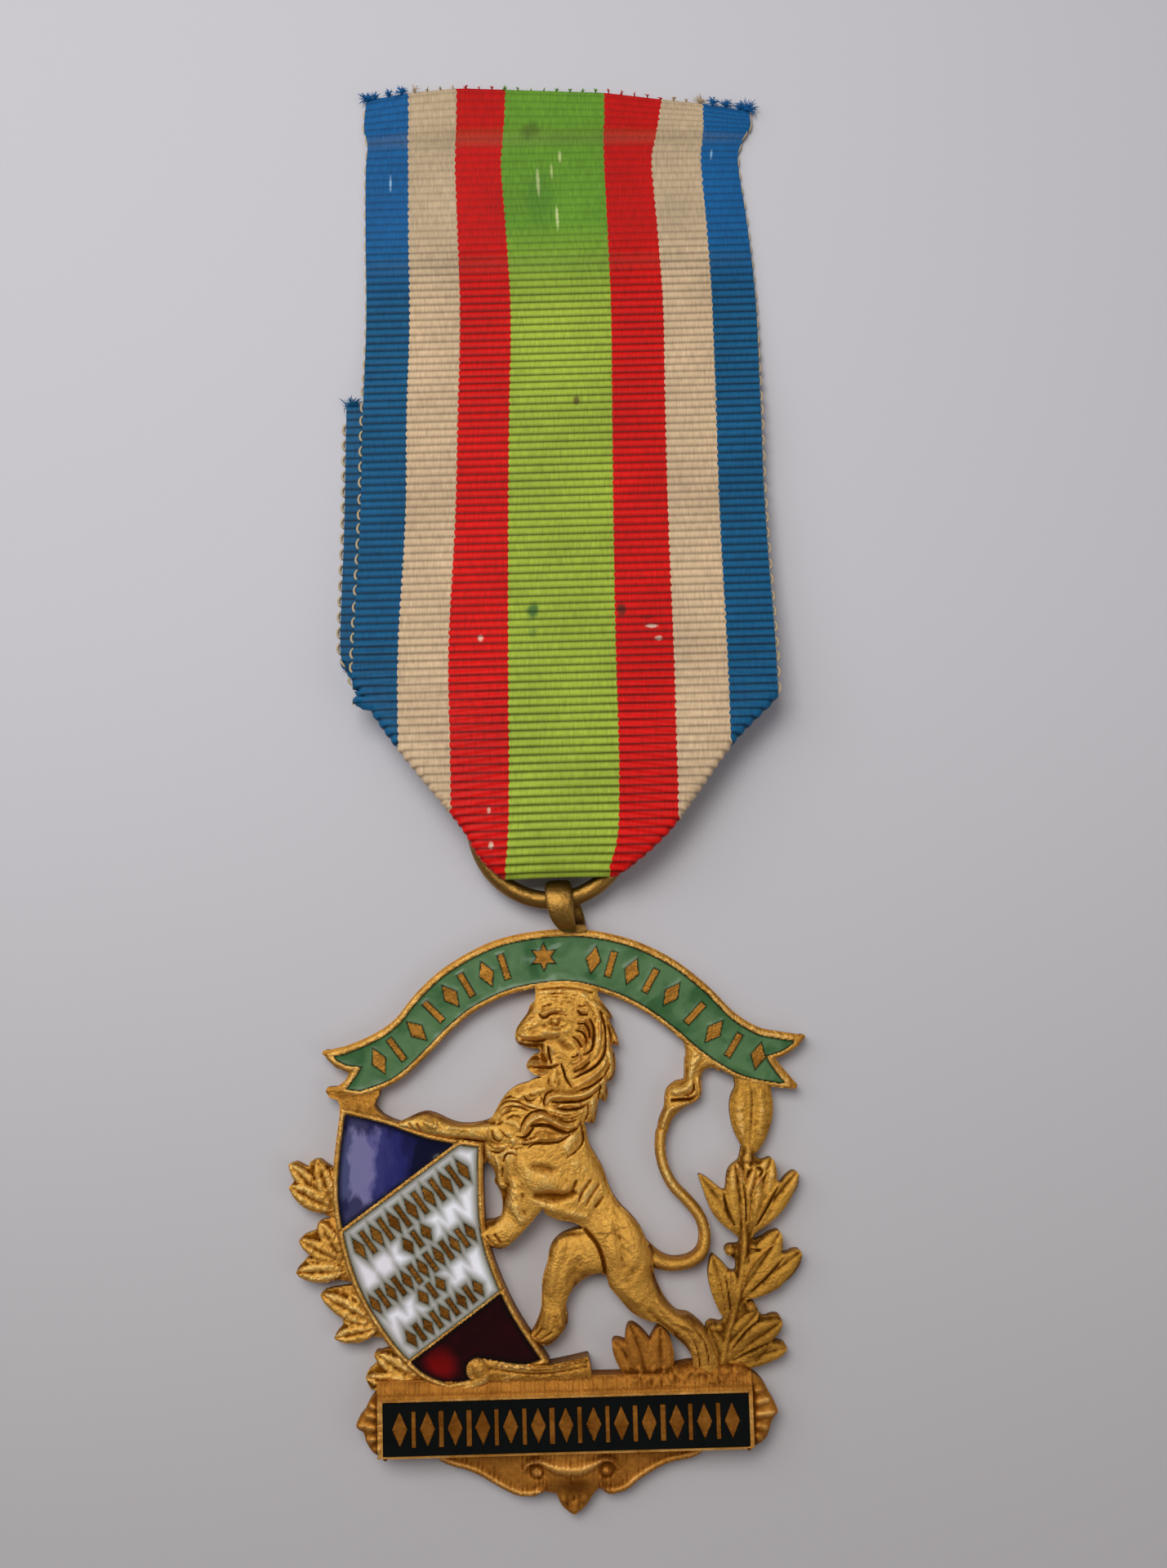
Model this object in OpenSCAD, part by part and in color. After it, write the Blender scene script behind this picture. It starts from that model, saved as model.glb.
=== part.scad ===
/* [Plate] */
// Height of the struck relief at its edges
plate_t = 1.2; // [0.9:0.1:1.5]
// Depth of the enamel in its cells
enamel_t = 0.65; // [0.4:0.05:0.8]
// Clearance between the enamel and the walls of its cell
cell_gap = 0.05; // [0.03:0.01:0.08]

/* [Scroll] */
// Height of the scroll's rim
scroll_t = 1.7; // [1.5:0.1:2]
// Width of the scroll's gilt rim
scroll_rim = 0.45; // [0.35:0.05:0.6]
// Spacing of the ornaments along the scroll
scroll_pitch = 1.85; // [1.6:0.05:2.1]

/* [Shield] */
// Height of the shield's rim
shield_t = 2.3; // [2:0.1:2.6]
// Width of the shield's gilt rim
shield_rim = 0.5; // [0.4:0.05:0.6]
// Width of the gilt line between the blue and the white field
line_w = 0.36; // [0.25:0.05:0.45]

/* [Plaque] */
// Length of the plaque's frame
plaque_w = 31.9; // [31:0.1:33]
// Height of the plaque's frame in the plan
plaque_h = 5.2; // [4.8:0.1:5.6]
// Thickness of the plaque
plaque_t = 2.9; // [2.4:0.1:3.2]
// Length of the black enamel
plaque_enamel_w = 30.9; // [29:0.1:31.2]
// Width of the black enamel
plaque_enamel_h = 4.3; // [3.8:0.1:4.5]

/* [Ring] */
// Outer diameter of the suspension ring
ring_d = 15; // [14.8:0.1:15.2]
// Thickness of the ring's wire
wire_d = 1.55; // [1.4:0.05:1.6]

/* [Ribbon] */
// Thickness of the cloth wall
cloth_t = 1; // [0.9:0.1:1]
// Thickness of the corners that are folded behind the front fall
fold_t = 0.85; // [0.6:0.05:0.85]

/* [Hidden] */
$fn = 48;

gold = "goldenrod";

// The drawing's zero is the middle of the scroll. The part's zero is the middle of its box.
drawing_shift = [1.885, -17.62, 0];

// Where the ring's centre lies, with the wire at the height of the eye
ring_centre = [-0.95, 12, 2.1];

// The scroll's middle line from left to right: x, y, half width
scroll_rows = [
    [-18.9, -9.1, 2.25],
    [-16.2, -8.1, 2.3],
    [-13.8, -6.35, 2.1],
    [-11.4, -3.85, 2.25],
    [-8.8, -1.9, 2.35],
    [-4.9, -0.25, 2.45],
    [0.2, 0.28, 2.48],
    [4.4, -0.6, 2.6],
    [7.75, -2.2, 2.62],
    [10.5, -4.3, 2.55],
    [13.1, -6.8, 2.4],
    [15.8, -8.5, 2.4],
    [18.5, -9.15, 2.4]
];
// The forked ends: upper tip, notch, lower tip
fork_left = [[-21.45, -7.3], [-18.95, -9], [-21.15, -10.8]];
fork_right = [[20.65, -6.95], [17.95, -8.9], [19.75, -11.45]];

// The shield's four sides, in order round it: x, y
shield_top = [[-19.85, -12.1], [-16, -13.15], [-12, -14.6], [-7.55, -15.45]];
shield_right = [[-7.55, -15.45], [-7.65, -19.5], [-7.3, -24], [-5.3, -29.3], [-2.3, -34]];
shield_foot = [[-2.3, -34], [-5.5, -34.9], [-8.2, -35.5], [-10.9, -36]];
shield_left = [[-10.9, -36], [-13.6, -34.7], [-16.7, -31.2], [-19.3, -26.2], [-20.6, -19.5], [-19.85, -12.1]];
// The two slanting lines between its fields: left end, right end
line_upper = [[-20.6, -23.1], [-8.5, -14.58]];
line_lower = [[-15.4, -34.4], [-5.8, -27.6]];
slant = atan2(line_upper[1][1] - line_upper[0][1], line_upper[1][0] - line_upper[0][0]);
// The little scroll that overlaps the shield's foot: centre of its curl, and its radius
curl_centre = [-8.5, -34.4];
curl_r = 0.9;

// The lion's forms, each a spine of rows: x, y, half width, height of the crest
lion_forms = [
    // head and mane, down to the chest
    [[0, -2.4, 2.6, 2.2], [0, -4.2, 3.3, 2.6], [0.5, -6, 3.5, 2.9], [0.6, -8.2, 3.5, 3.1],
        [0.2, -10.3, 3.2, 3], [-1.6, -12.2, 3.8, 2.9], [-2.8, -14, 4.1, 2.9]],
    // trunk and haunch
    [[-2.7, -13.2, 4, 2.9], [-2.5, -16, 4.5, 3.2], [-1, -18.9, 3.8, 3.1], [0.9, -20.7, 2.7, 2.7],
        [2.5, -22.2, 2.2, 2.6], [3.9, -24.2, 2.5, 2.9], [4.6, -26.2, 2.4, 3]],
    // muzzle
    [[-0.6, -4.9, 2.3, 2.9], [-2.4, -5.6, 1.7, 2.7], [-3.6, -6.3, 1, 2.3], [-4.2, -6.6, 0.5, 1.9]],
    // forehead
    [[-1.9, -2.4, 0.9, 2.1], [-2.2, -3.8, 1, 2.3], [-2.6, -5.2, 1, 2.3]],
    // lower jaw
    [[-0.8, -8.8, 1.1, 2.4], [-2.2, -9.1, 0.8, 2.2], [-3.4, -9.1, 0.45, 1.8]],
    // front of the mane and the shoulder
    [[-2.4, -10.9, 0.9, 2.4], [-4.2, -11.9, 1.3, 2.7], [-5.4, -13.2, 1.4, 2.7], [-6.3, -15, 1.35, 2.6],
        [-6.6, -16.3, 0.9, 2.4]],
    // upper foreleg along the shield's top
    [[-4.4, -14.6, 1.5, 2.9], [-6.6, -14.6, 0.95, 2.8], [-8.8, -14.5, 0.7, 2.8], [-10.8, -14.3, 0.8, 2.9],
        [-12.4, -13.8, 0.95, 3], [-13.8, -13.8, 0.65, 2.8], [-14.7, -13.85, 0.3, 2.5]],
    // lower foreleg, holding the shield's edge
    [[-2.6, -17.6, 2.6, 3.2], [-3.7, -19.9, 2.1, 3], [-4.8, -22, 1.5, 2.8], [-6, -23.25, 1.15, 2.8],
        [-7.1, -23.6, 0.8, 2.7]],
    // thigh of the left hind leg
    [[3.2, -25, 1.7, 2.7], [1.2, -25.2, 1.7, 2.6], [-0.4, -25.2, 1.45, 2.5], [-1.2, -25.2, 0.9, 2.3]],
    // shin and foot of the left hind leg
    [[-0.6, -24.6, 1.1, 2.3], [-1.2, -26.4, 1.3, 2.5], [-1.7, -28.4, 1.15, 2.4], [-2, -30.2, 1.05, 2.3],
        [-2.5, -31.6, 0.9, 2.3]],
    [[-1.5, -31.3, 0.7, 2.2], [-2.8, -31.9, 0.7, 2.2], [-3.9, -32, 0.4, 2.1]],
    // right hind leg
    [[4.5, -25.2, 2.4, 3], [4.9, -27.6, 2.1, 2.9], [6.2, -29.4, 1.4, 2.7], [8, -30.8, 1.1, 2.5],
        [9.5, -32.1, 1.05, 2.5], [10.3, -33.5, 0.85, 2.4], [10.7, -35.3, 0.7, 2.2]]
];
// Slender forms, with a keel along the middle
slender_forms = [
    // tail, up to its tuft
    [[5.6, -24.9, 0.9, 2.3], [7.2, -25.9, 0.6, 2], [8.7, -26.35, 0.52, 1.9], [10.2, -26.05, 0.5, 1.9],
        [11.15, -25.05, 0.5, 1.9], [11.35, -23.6, 0.48, 1.9], [10.9, -22.2, 0.48, 1.9],
        [9.9, -20.9, 0.48, 1.9], [8.8, -19.7, 0.47, 1.9], [8.05, -18.2, 0.46, 1.9],
        [7.75, -16.6, 0.45, 1.9], [7.85, -15, 0.45, 1.9], [8.35, -13.5, 0.5, 1.9], [9.1, -12.6, 0.6, 2]],
    // the tuft's two curls and the stem to the scroll
    [[10.9, -12, 0.5, 2], [9.6, -12.4, 0.7, 2.1], [8.9, -11.7, 0.65, 2.2], [9.5, -10.9, 0.6, 2.2],
        [10.3, -10.6, 0.6, 2.1]],
    [[9.6, -12.3, 0.6, 2.1], [10.6, -11.7, 0.9, 2.3], [10.8, -10.4, 0.85, 2.2], [10.85, -9.3, 0.9, 2],
        [11.2, -8.3, 0.95, 1.7]]
];

// Locks of the mane: x and y of the root, the bend and the tip, half width, height
mane_locks = [
    [1.4, -2.6, 3, -3.4, 4, -5.1, 0.5, 2.7],
    [2, -4.8, 3.4, -5.8, 4.4, -7.6, 0.5, 2.8],
    [2.2, -7.2, 3.6, -8.2, 4.2, -10.1, 0.5, 2.8],
    [2, -9.6, 3.2, -10.6, 3.1, -12.3, 0.45, 2.7],
    [0.9, -11.2, 2.1, -12.3, 2, -14, 0.45, 2.8],
    [0.2, -4, 1.7, -5.8, 1.1, -7.8, 0.4, 3.2],
    [1.5, -8.4, 0.8, -10.3, -1.4, -11, 0.45, 3.3],
    [0.6, -11.2, -1.1, -12.6, -3.5, -12.3, 0.45, 3.2],
    [-2.6, -11.4, -4.7, -12.3, -6.2, -13.6, 0.4, 3],
    [0, -13.3, -2.1, -14.3, -4.4, -13.5, 0.45, 3.3],
    [-0.4, -15, -3, -15.8, -5.4, -14.8, 0.45, 3.4]
];

// Leaves: x and y of the base, x and y of the tip, half width, height
laurel_leaves = [
    [15.5, -17, 15.75, -10.7, 1.8, 1.9],
    [13.9, -23, 11.1, -18.8, 0.9, 1.8],
    [14.3, -23.6, 14, -17.9, 1.1, 2.1],
    [15, -23.8, 15.9, -17.6, 1.2, 2.2],
    [15.6, -23.2, 19.5, -18.2, 1.25, 1.9],
    [12.9, -30.6, 11.9, -25.6, 1, 1.8],
    [13.9, -29.8, 13.3, -26.4, 0.8, 1.9],
    [14.4, -29.2, 17.7, -23.6, 1, 2.1],
    [14.6, -29.9, 19.5, -25.3, 1, 1.9],
    [13.2, -34.6, 17.7, -30.9, 1, 2],
    [13.2, -35.3, 18.1, -33.5, 0.85, 1.8],
    [11.7, -35, 11.6, -31.3, 0.7, 1.9]
];
oak_lobes = [
    [-20.4, -20.2, -22, -16.5, 0.95, 1.7],
    [-20.2, -21.3, -24.3, -16.9, 0.9, 1.6],
    [-20.1, -22, -24.3, -19.1, 0.95, 1.7],
    [-19.6, -24.4, -22, -21.8, 0.9, 1.7],
    [-19, -25.6, -23.7, -23.1, 1, 1.6],
    [-18.8, -26.6, -24, -26, 1, 1.7],
    [-17, -29.4, -21.8, -27.7, 0.95, 1.7],
    [-16.2, -31.2, -20.8, -31.3, 1, 1.6],
    [-14.2, -34.6, -16.8, -32.6, 0.9, 1.8],
    [-13.6, -35.6, -18.1, -34.8, 1.1, 1.7]
];
grass_blades = [
    [5.2, -35.7, 3.2, -32.5, 0.6, 1.8],
    [5.9, -35.9, 4.7, -31.2, 0.7, 1.9],
    [6.8, -35.9, 7.2, -31.4, 0.8, 1.9]
];
// Middle of each shell, and the direction it faces
shells = [[-15.4, -38.7, 180], [13.4, -38.6, 0]];
drop_leaves = [
    [-0.4, -43, -2, -45.6, 0.6, 2],
    [-0.4, -42.8, -0.45, -46.65, 0.85, 2.2],
    [-0.4, -43, 1.1, -45.6, 0.6, 2]
];
stem_rows = [
    [15.4, -16.8, 0.4, 1.9], [15.1, -19, 0.4, 1.9], [14.7, -23.5, 0.5, 1.9], [14.5, -26.5, 0.5, 1.9],
    [13.9, -29.5, 0.5, 1.9], [13, -32.4, 0.55, 1.9], [12.2, -35.2, 0.7, 1.9]
];
// The uneven ground above the plaque, under the grass and the right hind paw
ground_rows = [[4, -35.5, 0.4, 1.7], [7, -35.2, 0.6, 2], [10.5, -35.2, 0.7, 2.2], [14.4, -35.4, 0.55, 1.9]];
// Berries: x, y, radius, height
berries = [
    [15.2, -17.5, 0.55, 2.1],
    [13.8, -25.3, 0.5, 2],
    [15.5, -25.2, 0.5, 2],
    [15, -30.2, 0.55, 2]
];

// The pendant's lower edge from left to right: x, y, half width of its moulding, height
pendant_rows = [
    [-12, -41.3, 0.3, 2],
    [-11.2, -42.05, 0.35, 2],
    [-9, -42.7, 0.35, 2],
    [-7, -43.85, 0.35, 2],
    [-5.3, -44.7, 0.38, 2],
    [-4, -44.8, 0.4, 2],
    [-3.3, -44.2, 0.38, 2],
    [-3.3, -43.2, 0.36, 2],
    [-4, -42.7, 0.34, 2],
    [-4.5, -43.1, 0.3, 2]
];
pendant_rows_right = [
    [10.7, -41.3, 0.3, 2],
    [9.6, -41.95, 0.35, 2],
    [7.4, -42.4, 0.35, 2],
    [5.3, -43.4, 0.35, 2],
    [3.8, -44.45, 0.38, 2],
    [2.4, -44.75, 0.4, 2],
    [1.7, -44.1, 0.38, 2],
    [1.8, -43.1, 0.36, 2],
    [2.5, -42.7, 0.34, 2],
    [2.9, -43.1, 0.3, 2]
];
crossbar_rows = [
    [-4.2, -42.2, 0.35, 2.1], [-2.2, -42.3, 0.5, 2.3], [-0.4, -42.5, 0.6, 2.4], [1.2, -42.3, 0.5, 2.3],
    [2.8, -42.2, 0.35, 2.1]
];
pendant_plate = [
    [-12, -41], [-11.2, -42.05], [-9, -42.7], [-7, -43.85], [-5.3, -44.7], [-4, -44.8], [-2.6, -44.4],
    [-2, -45.2], [-0.45, -46.2], [1.1, -45.2], [1.7, -44.4], [2.4, -44.75], [3.8, -44.45], [5.3, -43.4],
    [7.4, -42.4], [9.6, -41.95], [10.7, -41]
];

// The eye's band, round the ring's wire: angle round the loop, x of its middle, width
eye_rows = [
    [170, 0.25, 1.4],
    [145, 0, 1.8],
    [110, -0.25, 2.25],
    [75, -0.45, 2.35],
    [40, -0.5, 2.25],
    [0, -0.5, 2],
    [-40, -0.2, 2],
    [-80, 0.3, 1.9],
    [-120, 0.8, 1.7],
    [-150, 1, 1.5],
    [-175, 1.1, 1.4]
];
eye_centre = [4.75, 2.05];
eye_reach = [1.99, 1.58];
eye_t = 0.7;

// The front fall from its top down to the ring: x and y of the left edge, x and y of the right edge,
// height of the cloth's underside
front_rows = [
    [-17.1, 74, 18.1, 74.2, 0],
    [-17.1, 65, 19.3, 65, 0],
    [-17.1, 57, 19.1, 57, 0.3],
    [-17.4, 50.5, 19, 50.5, 1.15],
    [-17.6, 42, 19, 42, 1.4],
    [-17.9, 34, 19, 34, 2],
    [-18.1, 28, 19, 27, 2.8],
    [-17.9, 25, 18.8, 23.2, 3.2],
    [-13.9, 18.9, 14.8, 18.4, 3.75],
    [-9.1, 12, 10, 12.1, 3.8],
    [-8, 9.8, 7.3, 9.3, 3.75],
    [-5.9, 7.8, 4.7, 7.9, 3.7]
];
// The front fall's cut end, from left to right, which bows a little: x, y
top_edge = [[-17, 81], [-8, 81.9], [5.8, 81.1], [14.9, 79.8], [19.5, 77.6]];
// The turned-in corners, under the front fall: x, y, height of the underside at each of their three points
fold_corners = [
    [[-17.5, 24.7, 2.45], [-6.2, 8.4, 2.95], [0.4, 20.6, 3]],
    [[18.4, 22.9, 2.45], [5.2, 8.6, 2.95], [-0.4, 20, 3]]
];
// The bight that runs down through the ring: y, height of its middle, x of its two ends
bight_rows = [
    [7.85, 4.15, -5.9, 4.7],
    [7.8, 3.8, -5.4, 4.3],
    [8.5, 3.2, -5.1, 3.3],
    [8.85, 2.1, -5, 3.2],
    [8.95, 1.2, -5, 3.2],
    [9.6, 0.5, -5, 3.2]
];
// The back fall from the ring up: x and y of the left edge, x and y of the right edge, height of the underside
back_rows = [
    [-5, 9.6, 3.2, 9.6, 0],
    [-9.3, 14, 9, 14, 0],
    [-14.2, 19.6, 14.2, 19.6, 0],
    [-19.2, 27, 17.2, 27, 0],
    [-19.5, 40, 16.9, 40, 0],
    [-18.7, 51.2, 17.6, 50.6, 0]
];

// Catmull-Rom curve through the rows of a table, with n steps between each two
function between(a, b, c, d, t) =
    0.5 * (2 * b + (c - a) * t + (2 * a - 5 * b + 4 * c - d) * t * t + (3 * b - a - 3 * c + d) * t * t * t);
function curve(p, n) = [
    for (i = [0:len(p) - 2], k = [0:n - 1])
        between(p[max(i - 1, 0)], p[i], p[i + 1], p[min(i + 2, len(p) - 1)], k / n),
    p[len(p) - 1]
];
function xy(p) = [p[0], p[1]];
function unit(v) = v / norm(v);
// Direction of a curve at its row i, and the direction across it
function along(s, i) = unit(xy(s[min(i + 1, len(s) - 1)]) - xy(s[max(i - 1, 0)]));
function across(s, i) = [-along(s, i)[1], along(s, i)[0]];

// A raised form on the plate: a spine of rows x, y, half width, height, with a round back or a keel (power 1)
module relief(rows, power = 0.5, sides = [-1, -0.7, 0, 0.7, 1], edge = plate_t) {
    n = len(sides) + 2;
    points = [
        for (i = [0:len(rows) - 1]) each [
            for (c = sides) [
                rows[i][0] + across(rows, i)[0] * c * rows[i][2],
                rows[i][1] + across(rows, i)[1] * c * rows[i][2],
                edge + (rows[i][3] - edge) * (power < 1 ? sqrt(1 - c * c) : 1 - abs(c))
            ],
            for (c = [1, -1]) [
                rows[i][0] + across(rows, i)[0] * c * rows[i][2],
                rows[i][1] + across(rows, i)[1] * c * rows[i][2],
                plate_t / 2
            ]
        ]
    ];
    last = (len(rows) - 1) * n;
    faces = [
        [for (k = [n - 1:-1:0]) k],
        [for (k = [0:n - 1]) last + k],
        for (i = [0:len(rows) - 2], k = [0:n - 1])
            [i * n + k, i * n + (k + 1) % n, (i + 1) * n + (k + 1) % n, (i + 1) * n + k]
    ];
    polyhedron(points, faces, convexity = 6);
}

// The plate's outline under such a form
module ground(rows) {
    n = len(rows) - 1;
    polygon([
        for (i = [0:n]) xy(rows[i]) + across(rows, i) * rows[i][2],
        for (i = [n:-1:0]) xy(rows[i]) - across(rows, i) * rows[i][2]
    ]);
}

// A leaf or a lobe with a raised midrib, from its base to its tip
leaf_shape = [[0, 0.4], [0.45, 1], [0.8, 0.75], [1, 0.08]];
function leaf_rows(row) = [
    for (k = leaf_shape) [
        row[0] + (row[2] - row[0]) * k[0],
        row[1] + (row[3] - row[1]) * k[0],
        row[4] * k[1],
        plate_t + (row[5] - plate_t) * (0.5 + 0.5 * k[1])
    ]
];
module leaf(row) {
    relief(leaf_rows(row), 1, [-1, 0, 1], plate_t * 0.95);
}

module scroll_outline() {
    s = curve(scroll_rows, 2);
    n = len(s) - 1;
    polygon([
        for (i = [0:n]) xy(s[i]) + across(s, i) * s[i][2],
        each fork_right,
        for (i = [n:-1:0]) xy(s[i]) - across(s, i) * s[i][2],
        fork_left[2],
        fork_left[1],
        fork_left[0]
    ]);
}

module shield_outline() {
    polygon([
        each curve(shield_top, 2),
        each curve(shield_right, 2),
        each curve(shield_foot, 2),
        each curve(shield_left, 2)
    ]);
}

// The half plane on the upper left side of a slanting line, moved by a distance
module above(line, distance) {
    translate(line[0])
        rotate(slant)
            translate([-30, distance])
                square([60, 40]);
}

module lozenge(w, h) {
    polygon([[-w / 2, 0], [0, h / 2], [w / 2, 0], [0, -h / 2]]);
}

module billet(w, h) {
    square([w, h], center = true);
}

module star(r) {
    polygon([for (k = [0:11]) (k % 2 == 0 ? r : r * 0.5) * [sin(k * 30), cos(k * 30)]]);
}

// Ornaments along the scroll, on both sides of its star: each takes its place and turn from the middle line
scroll_star = [-1.95, 0.35];
scroll_ornament_x = concat(
    [for (k = [-7:0]) -5.7 + k * scroll_pitch * 0.843],
    [for (k = [0:8]) 1.9 + k * scroll_pitch * 0.968]
);
module scroll_ornaments() {
    translate(scroll_star)
        star(1.25);
    s = curve(scroll_rows, 8);
    for (k = [0:len(scroll_ornament_x) - 1]) {
        x = scroll_ornament_x[k];
        near = [for (i = [0:len(s) - 1]) if (s[i][0] >= x) i][0];
        translate(xy(s[near]))
            rotate(atan2(along(s, near)[1], along(s, near)[0]))
                if (k % 2 == 0)
                    lozenge(1.35, 2.5);
                else
                    billet(0.6, 2.3);
    }
}

// Slanting rows on the white field: x and y of the row's middle, number, spacing, height
white_rows = [
    [-13.85, -20.9, 13, 0.92, 2.35],
    [-13.4, -23.4, 3, 0.96, 1.75],
    [-12.95, -25.85, 13, 0.84, 2.0],
    [-12.2, -27.75, 3, 0.92, 1.6],
    [-11.15, -29.65, 9, 0.88, 1.8]
];
module white_ornaments() {
    for (row = white_rows)
        translate([row[0], row[1]])
            rotate(slant)
                for (k = [0:row[2] - 1])
                    translate([(k - (row[2] - 1) / 2) * row[3], 0])
                        if (k % 2 == 0)
                            lozenge(row[3], row[4]);
                        else
                            billet(0.4, row[4] - 0.15);
}

plaque_middle = [-1.05, -38.75];
plaque_enamel_middle = [-1.02, -38.98];
module plaque_ornaments() {
    translate(plaque_enamel_middle)
        for (k = [-12:12])
            translate([k * 1.17, 0])
                if (k % 2 == 0)
                    lozenge(1.35, 3.1);
                else
                    billet(0.45, 3.0);
}

module scroll_cell(inset) {
    offset(delta = -inset)
        scroll_outline();
}

module shield_cell(inset) {
    difference() {
        offset(delta = -inset)
            shield_outline();
        translate(curl_centre)
            circle(curl_r + 0.12 + inset - shield_rim, $fn = 20);
        offset(delta = 0.1 + inset - shield_rim)
            ledge_outline();
    }
}

module blue_cell(inset) {
    intersection() {
        shield_cell(inset);
        above(line_upper, line_w / 2 + inset - shield_rim);
    }
}

module white_cell(inset) {
    intersection() {
        shield_cell(inset);
        above(line_lower, line_w / 2 + inset - shield_rim);
        mirror_half(line_upper, -line_w / 2 - inset + shield_rim);
    }
}

module red_cell(inset) {
    intersection() {
        shield_cell(inset);
        mirror_half(line_lower, -line_w / 2 - inset + shield_rim);
    }
}

// The half plane on the lower right side of a slanting line, moved by a distance
module mirror_half(line, distance) {
    translate(line[0])
        rotate(slant)
            translate([-30, distance - 40])
                square([60, 40]);
}

// The ledge under the shield, which ends in the curl
module ledge_outline() {
    polygon([
        [-8.5, -33.5], [-7, -33.75], [-5, -34.15], [-2.3, -34.35], [1.1, -33.7], [1.35, -36.3], [-9.6, -36.3],
        [-8.9, -35.2]
    ]);
}

module plaque_cell(inset) {
    translate(plaque_enamel_middle)
        square([plaque_enamel_w - 2 * inset, plaque_enamel_h - 2 * inset], center = true);
}

scroll_floor = scroll_t - enamel_t - 0.1;
shield_floor = shield_t - enamel_t - 0.1;
plaque_floor = plaque_t - enamel_t - 0.1;

module scroll_metal() {
    difference() {
        linear_extrude(scroll_t)
            scroll_outline();
        translate([0, 0, scroll_floor])
            linear_extrude(scroll_t)
                difference() {
                    scroll_cell(scroll_rim);
                    scroll_ornaments();
                }
    }
}

module shield_metal() {
    difference() {
        linear_extrude(shield_t)
            shield_outline();
        translate([0, 0, shield_floor])
            linear_extrude(shield_t)
                difference() {
                    union() {
                        blue_cell(shield_rim);
                        white_cell(shield_rim);
                        red_cell(shield_rim);
                    }
                    white_ornaments();
                }
    }
    linear_extrude(shield_t)
        ledge_outline();
    translate(curl_centre)
        cylinder(r = curl_r, h = shield_t + 0.2, $fn = 20);
    // the block that joins the shield to the scroll's left end
    linear_extrude(scroll_t - 0.2)
        polygon([[-20, -10.9], [-16.6, -10.9], [-17.1, -12.2], [-16.4, -13.4], [-19.8, -12.9]]);
}

module plaque_metal() {
    difference() {
        translate([plaque_middle[0] - plaque_w / 2, plaque_middle[1] - plaque_h / 2, 0])
            cube([plaque_w, plaque_h, plaque_t]);
        translate([0, 0, plaque_floor])
            linear_extrude(plaque_t)
                difference() {
                    plaque_cell(0);
                    plaque_ornaments();
                }
    }
    // the sloping moulding along the plaque's top, and the ground above it on the right
    top_y = plaque_middle[1] + plaque_h / 2;
    hull() {
        translate([plaque_middle[0] - plaque_w / 2, top_y - 0.5, 0])
            cube([plaque_w, 0.5, plaque_t - 0.3]);
        translate([plaque_middle[0] - plaque_w / 2, top_y, 0])
            cube([plaque_w, 0.85, plate_t]);
    }
}

// A shell at an end of the plaque: a fan of five lobes, with ridges between them
module shell_metal(place) {
    translate([place[0], place[1], 0])
        rotate(place[2]) {
            linear_extrude(plate_t + 0.5)
                polygon([
                    [0, -2.5],
                    for (a = [-75:7.5:75]) (3.2 + 0.35 * abs(cos(a * 180 / 33))) * [cos(a), sin(a)],
                    [0, 2.5]
                ]);
            for (a = [-66:33:66])
                rotate(a)
                    relief([[0.8, 0, 0.3, plate_t + 0.9], [3.3, 0, 0.4, plate_t + 0.6]], 1, [-1, 0, 1]);
        }
}

// Every raised form that stands on the common plate
round_forms = [each lion_forms, ground_rows];
keeled_forms = [each slender_forms, pendant_rows, pendant_rows_right, crossbar_rows, stem_rows];
all_leaves = [each laurel_leaves, each oak_lobes, each grass_blades, each drop_leaves];
module plate_metal() {
    linear_extrude(plate_t - 0.2)
        offset(delta = 0.06) {
            polygon(pendant_plate);
            for (rows = [each round_forms, each keeled_forms])
                ground(rows);
            for (row = all_leaves)
                ground(leaf_rows(row));
        }
}

// One row of the eye's band as a thin bar, square to the loop
module eye_bar(row) {
    a = row[0];
    translate([row[1], eye_centre[0] + eye_reach[0] * cos(a), eye_centre[1] + eye_reach[1] * sin(a)])
        rotate([atan2(sin(a) / eye_reach[1], cos(a) / eye_reach[0]), 0, 0])
            cube([row[2], eye_t, 0.02], center = true);
}

module eye_metal() {
    for (k = [0:len(eye_rows) - 2])
        hull() {
            eye_bar(eye_rows[k]);
            eye_bar(eye_rows[k + 1]);
        }
}

module badge_body() {
    color(gold)
        translate(drawing_shift) {
            scroll_metal();
            shield_metal();
            plaque_metal();
            plate_metal();
            eye_metal();
            for (place = shells)
                shell_metal(place);
            for (rows = round_forms)
                relief(rows);
            for (rows = keeled_forms)
                relief(rows, 1, [-1, 0, 1]);
            for (row = all_leaves)
                leaf(row);
            for (k = mane_locks)
                relief([[k[0], k[1], k[6], k[7] - 0.2], [k[2], k[3], k[6], k[7]], [k[4], k[5], 0.06, k[7] - 0.7]],
                    1, [-1, 0, 1], plate_t + 0.1);
            for (b = berries)
                hull() {
                    translate([b[0], b[1], 0])
                        cylinder(r = b[2], h = plate_t, $fn = 10);
                    translate([b[0], b[1], plate_t])
                        cylinder(r1 = b[2], r2 = b[2] * 0.4, h = b[3] - plate_t, $fn = 10);
                }
        }
}

// A slab of enamel that fills a cell, with room round the gilt ornaments in it
module scroll_enamel() {
    color("forestgreen")
        translate(drawing_shift + [0, 0, scroll_floor + cell_gap])
            linear_extrude(enamel_t)
                difference() {
                    scroll_cell(scroll_rim + cell_gap);
                    offset(delta = cell_gap)
                        scroll_ornaments();
                }
}

module shield_blue() {
    color("darkblue")
        translate(drawing_shift + [0, 0, shield_floor + cell_gap])
            linear_extrude(enamel_t)
                blue_cell(shield_rim + cell_gap);
}

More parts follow.
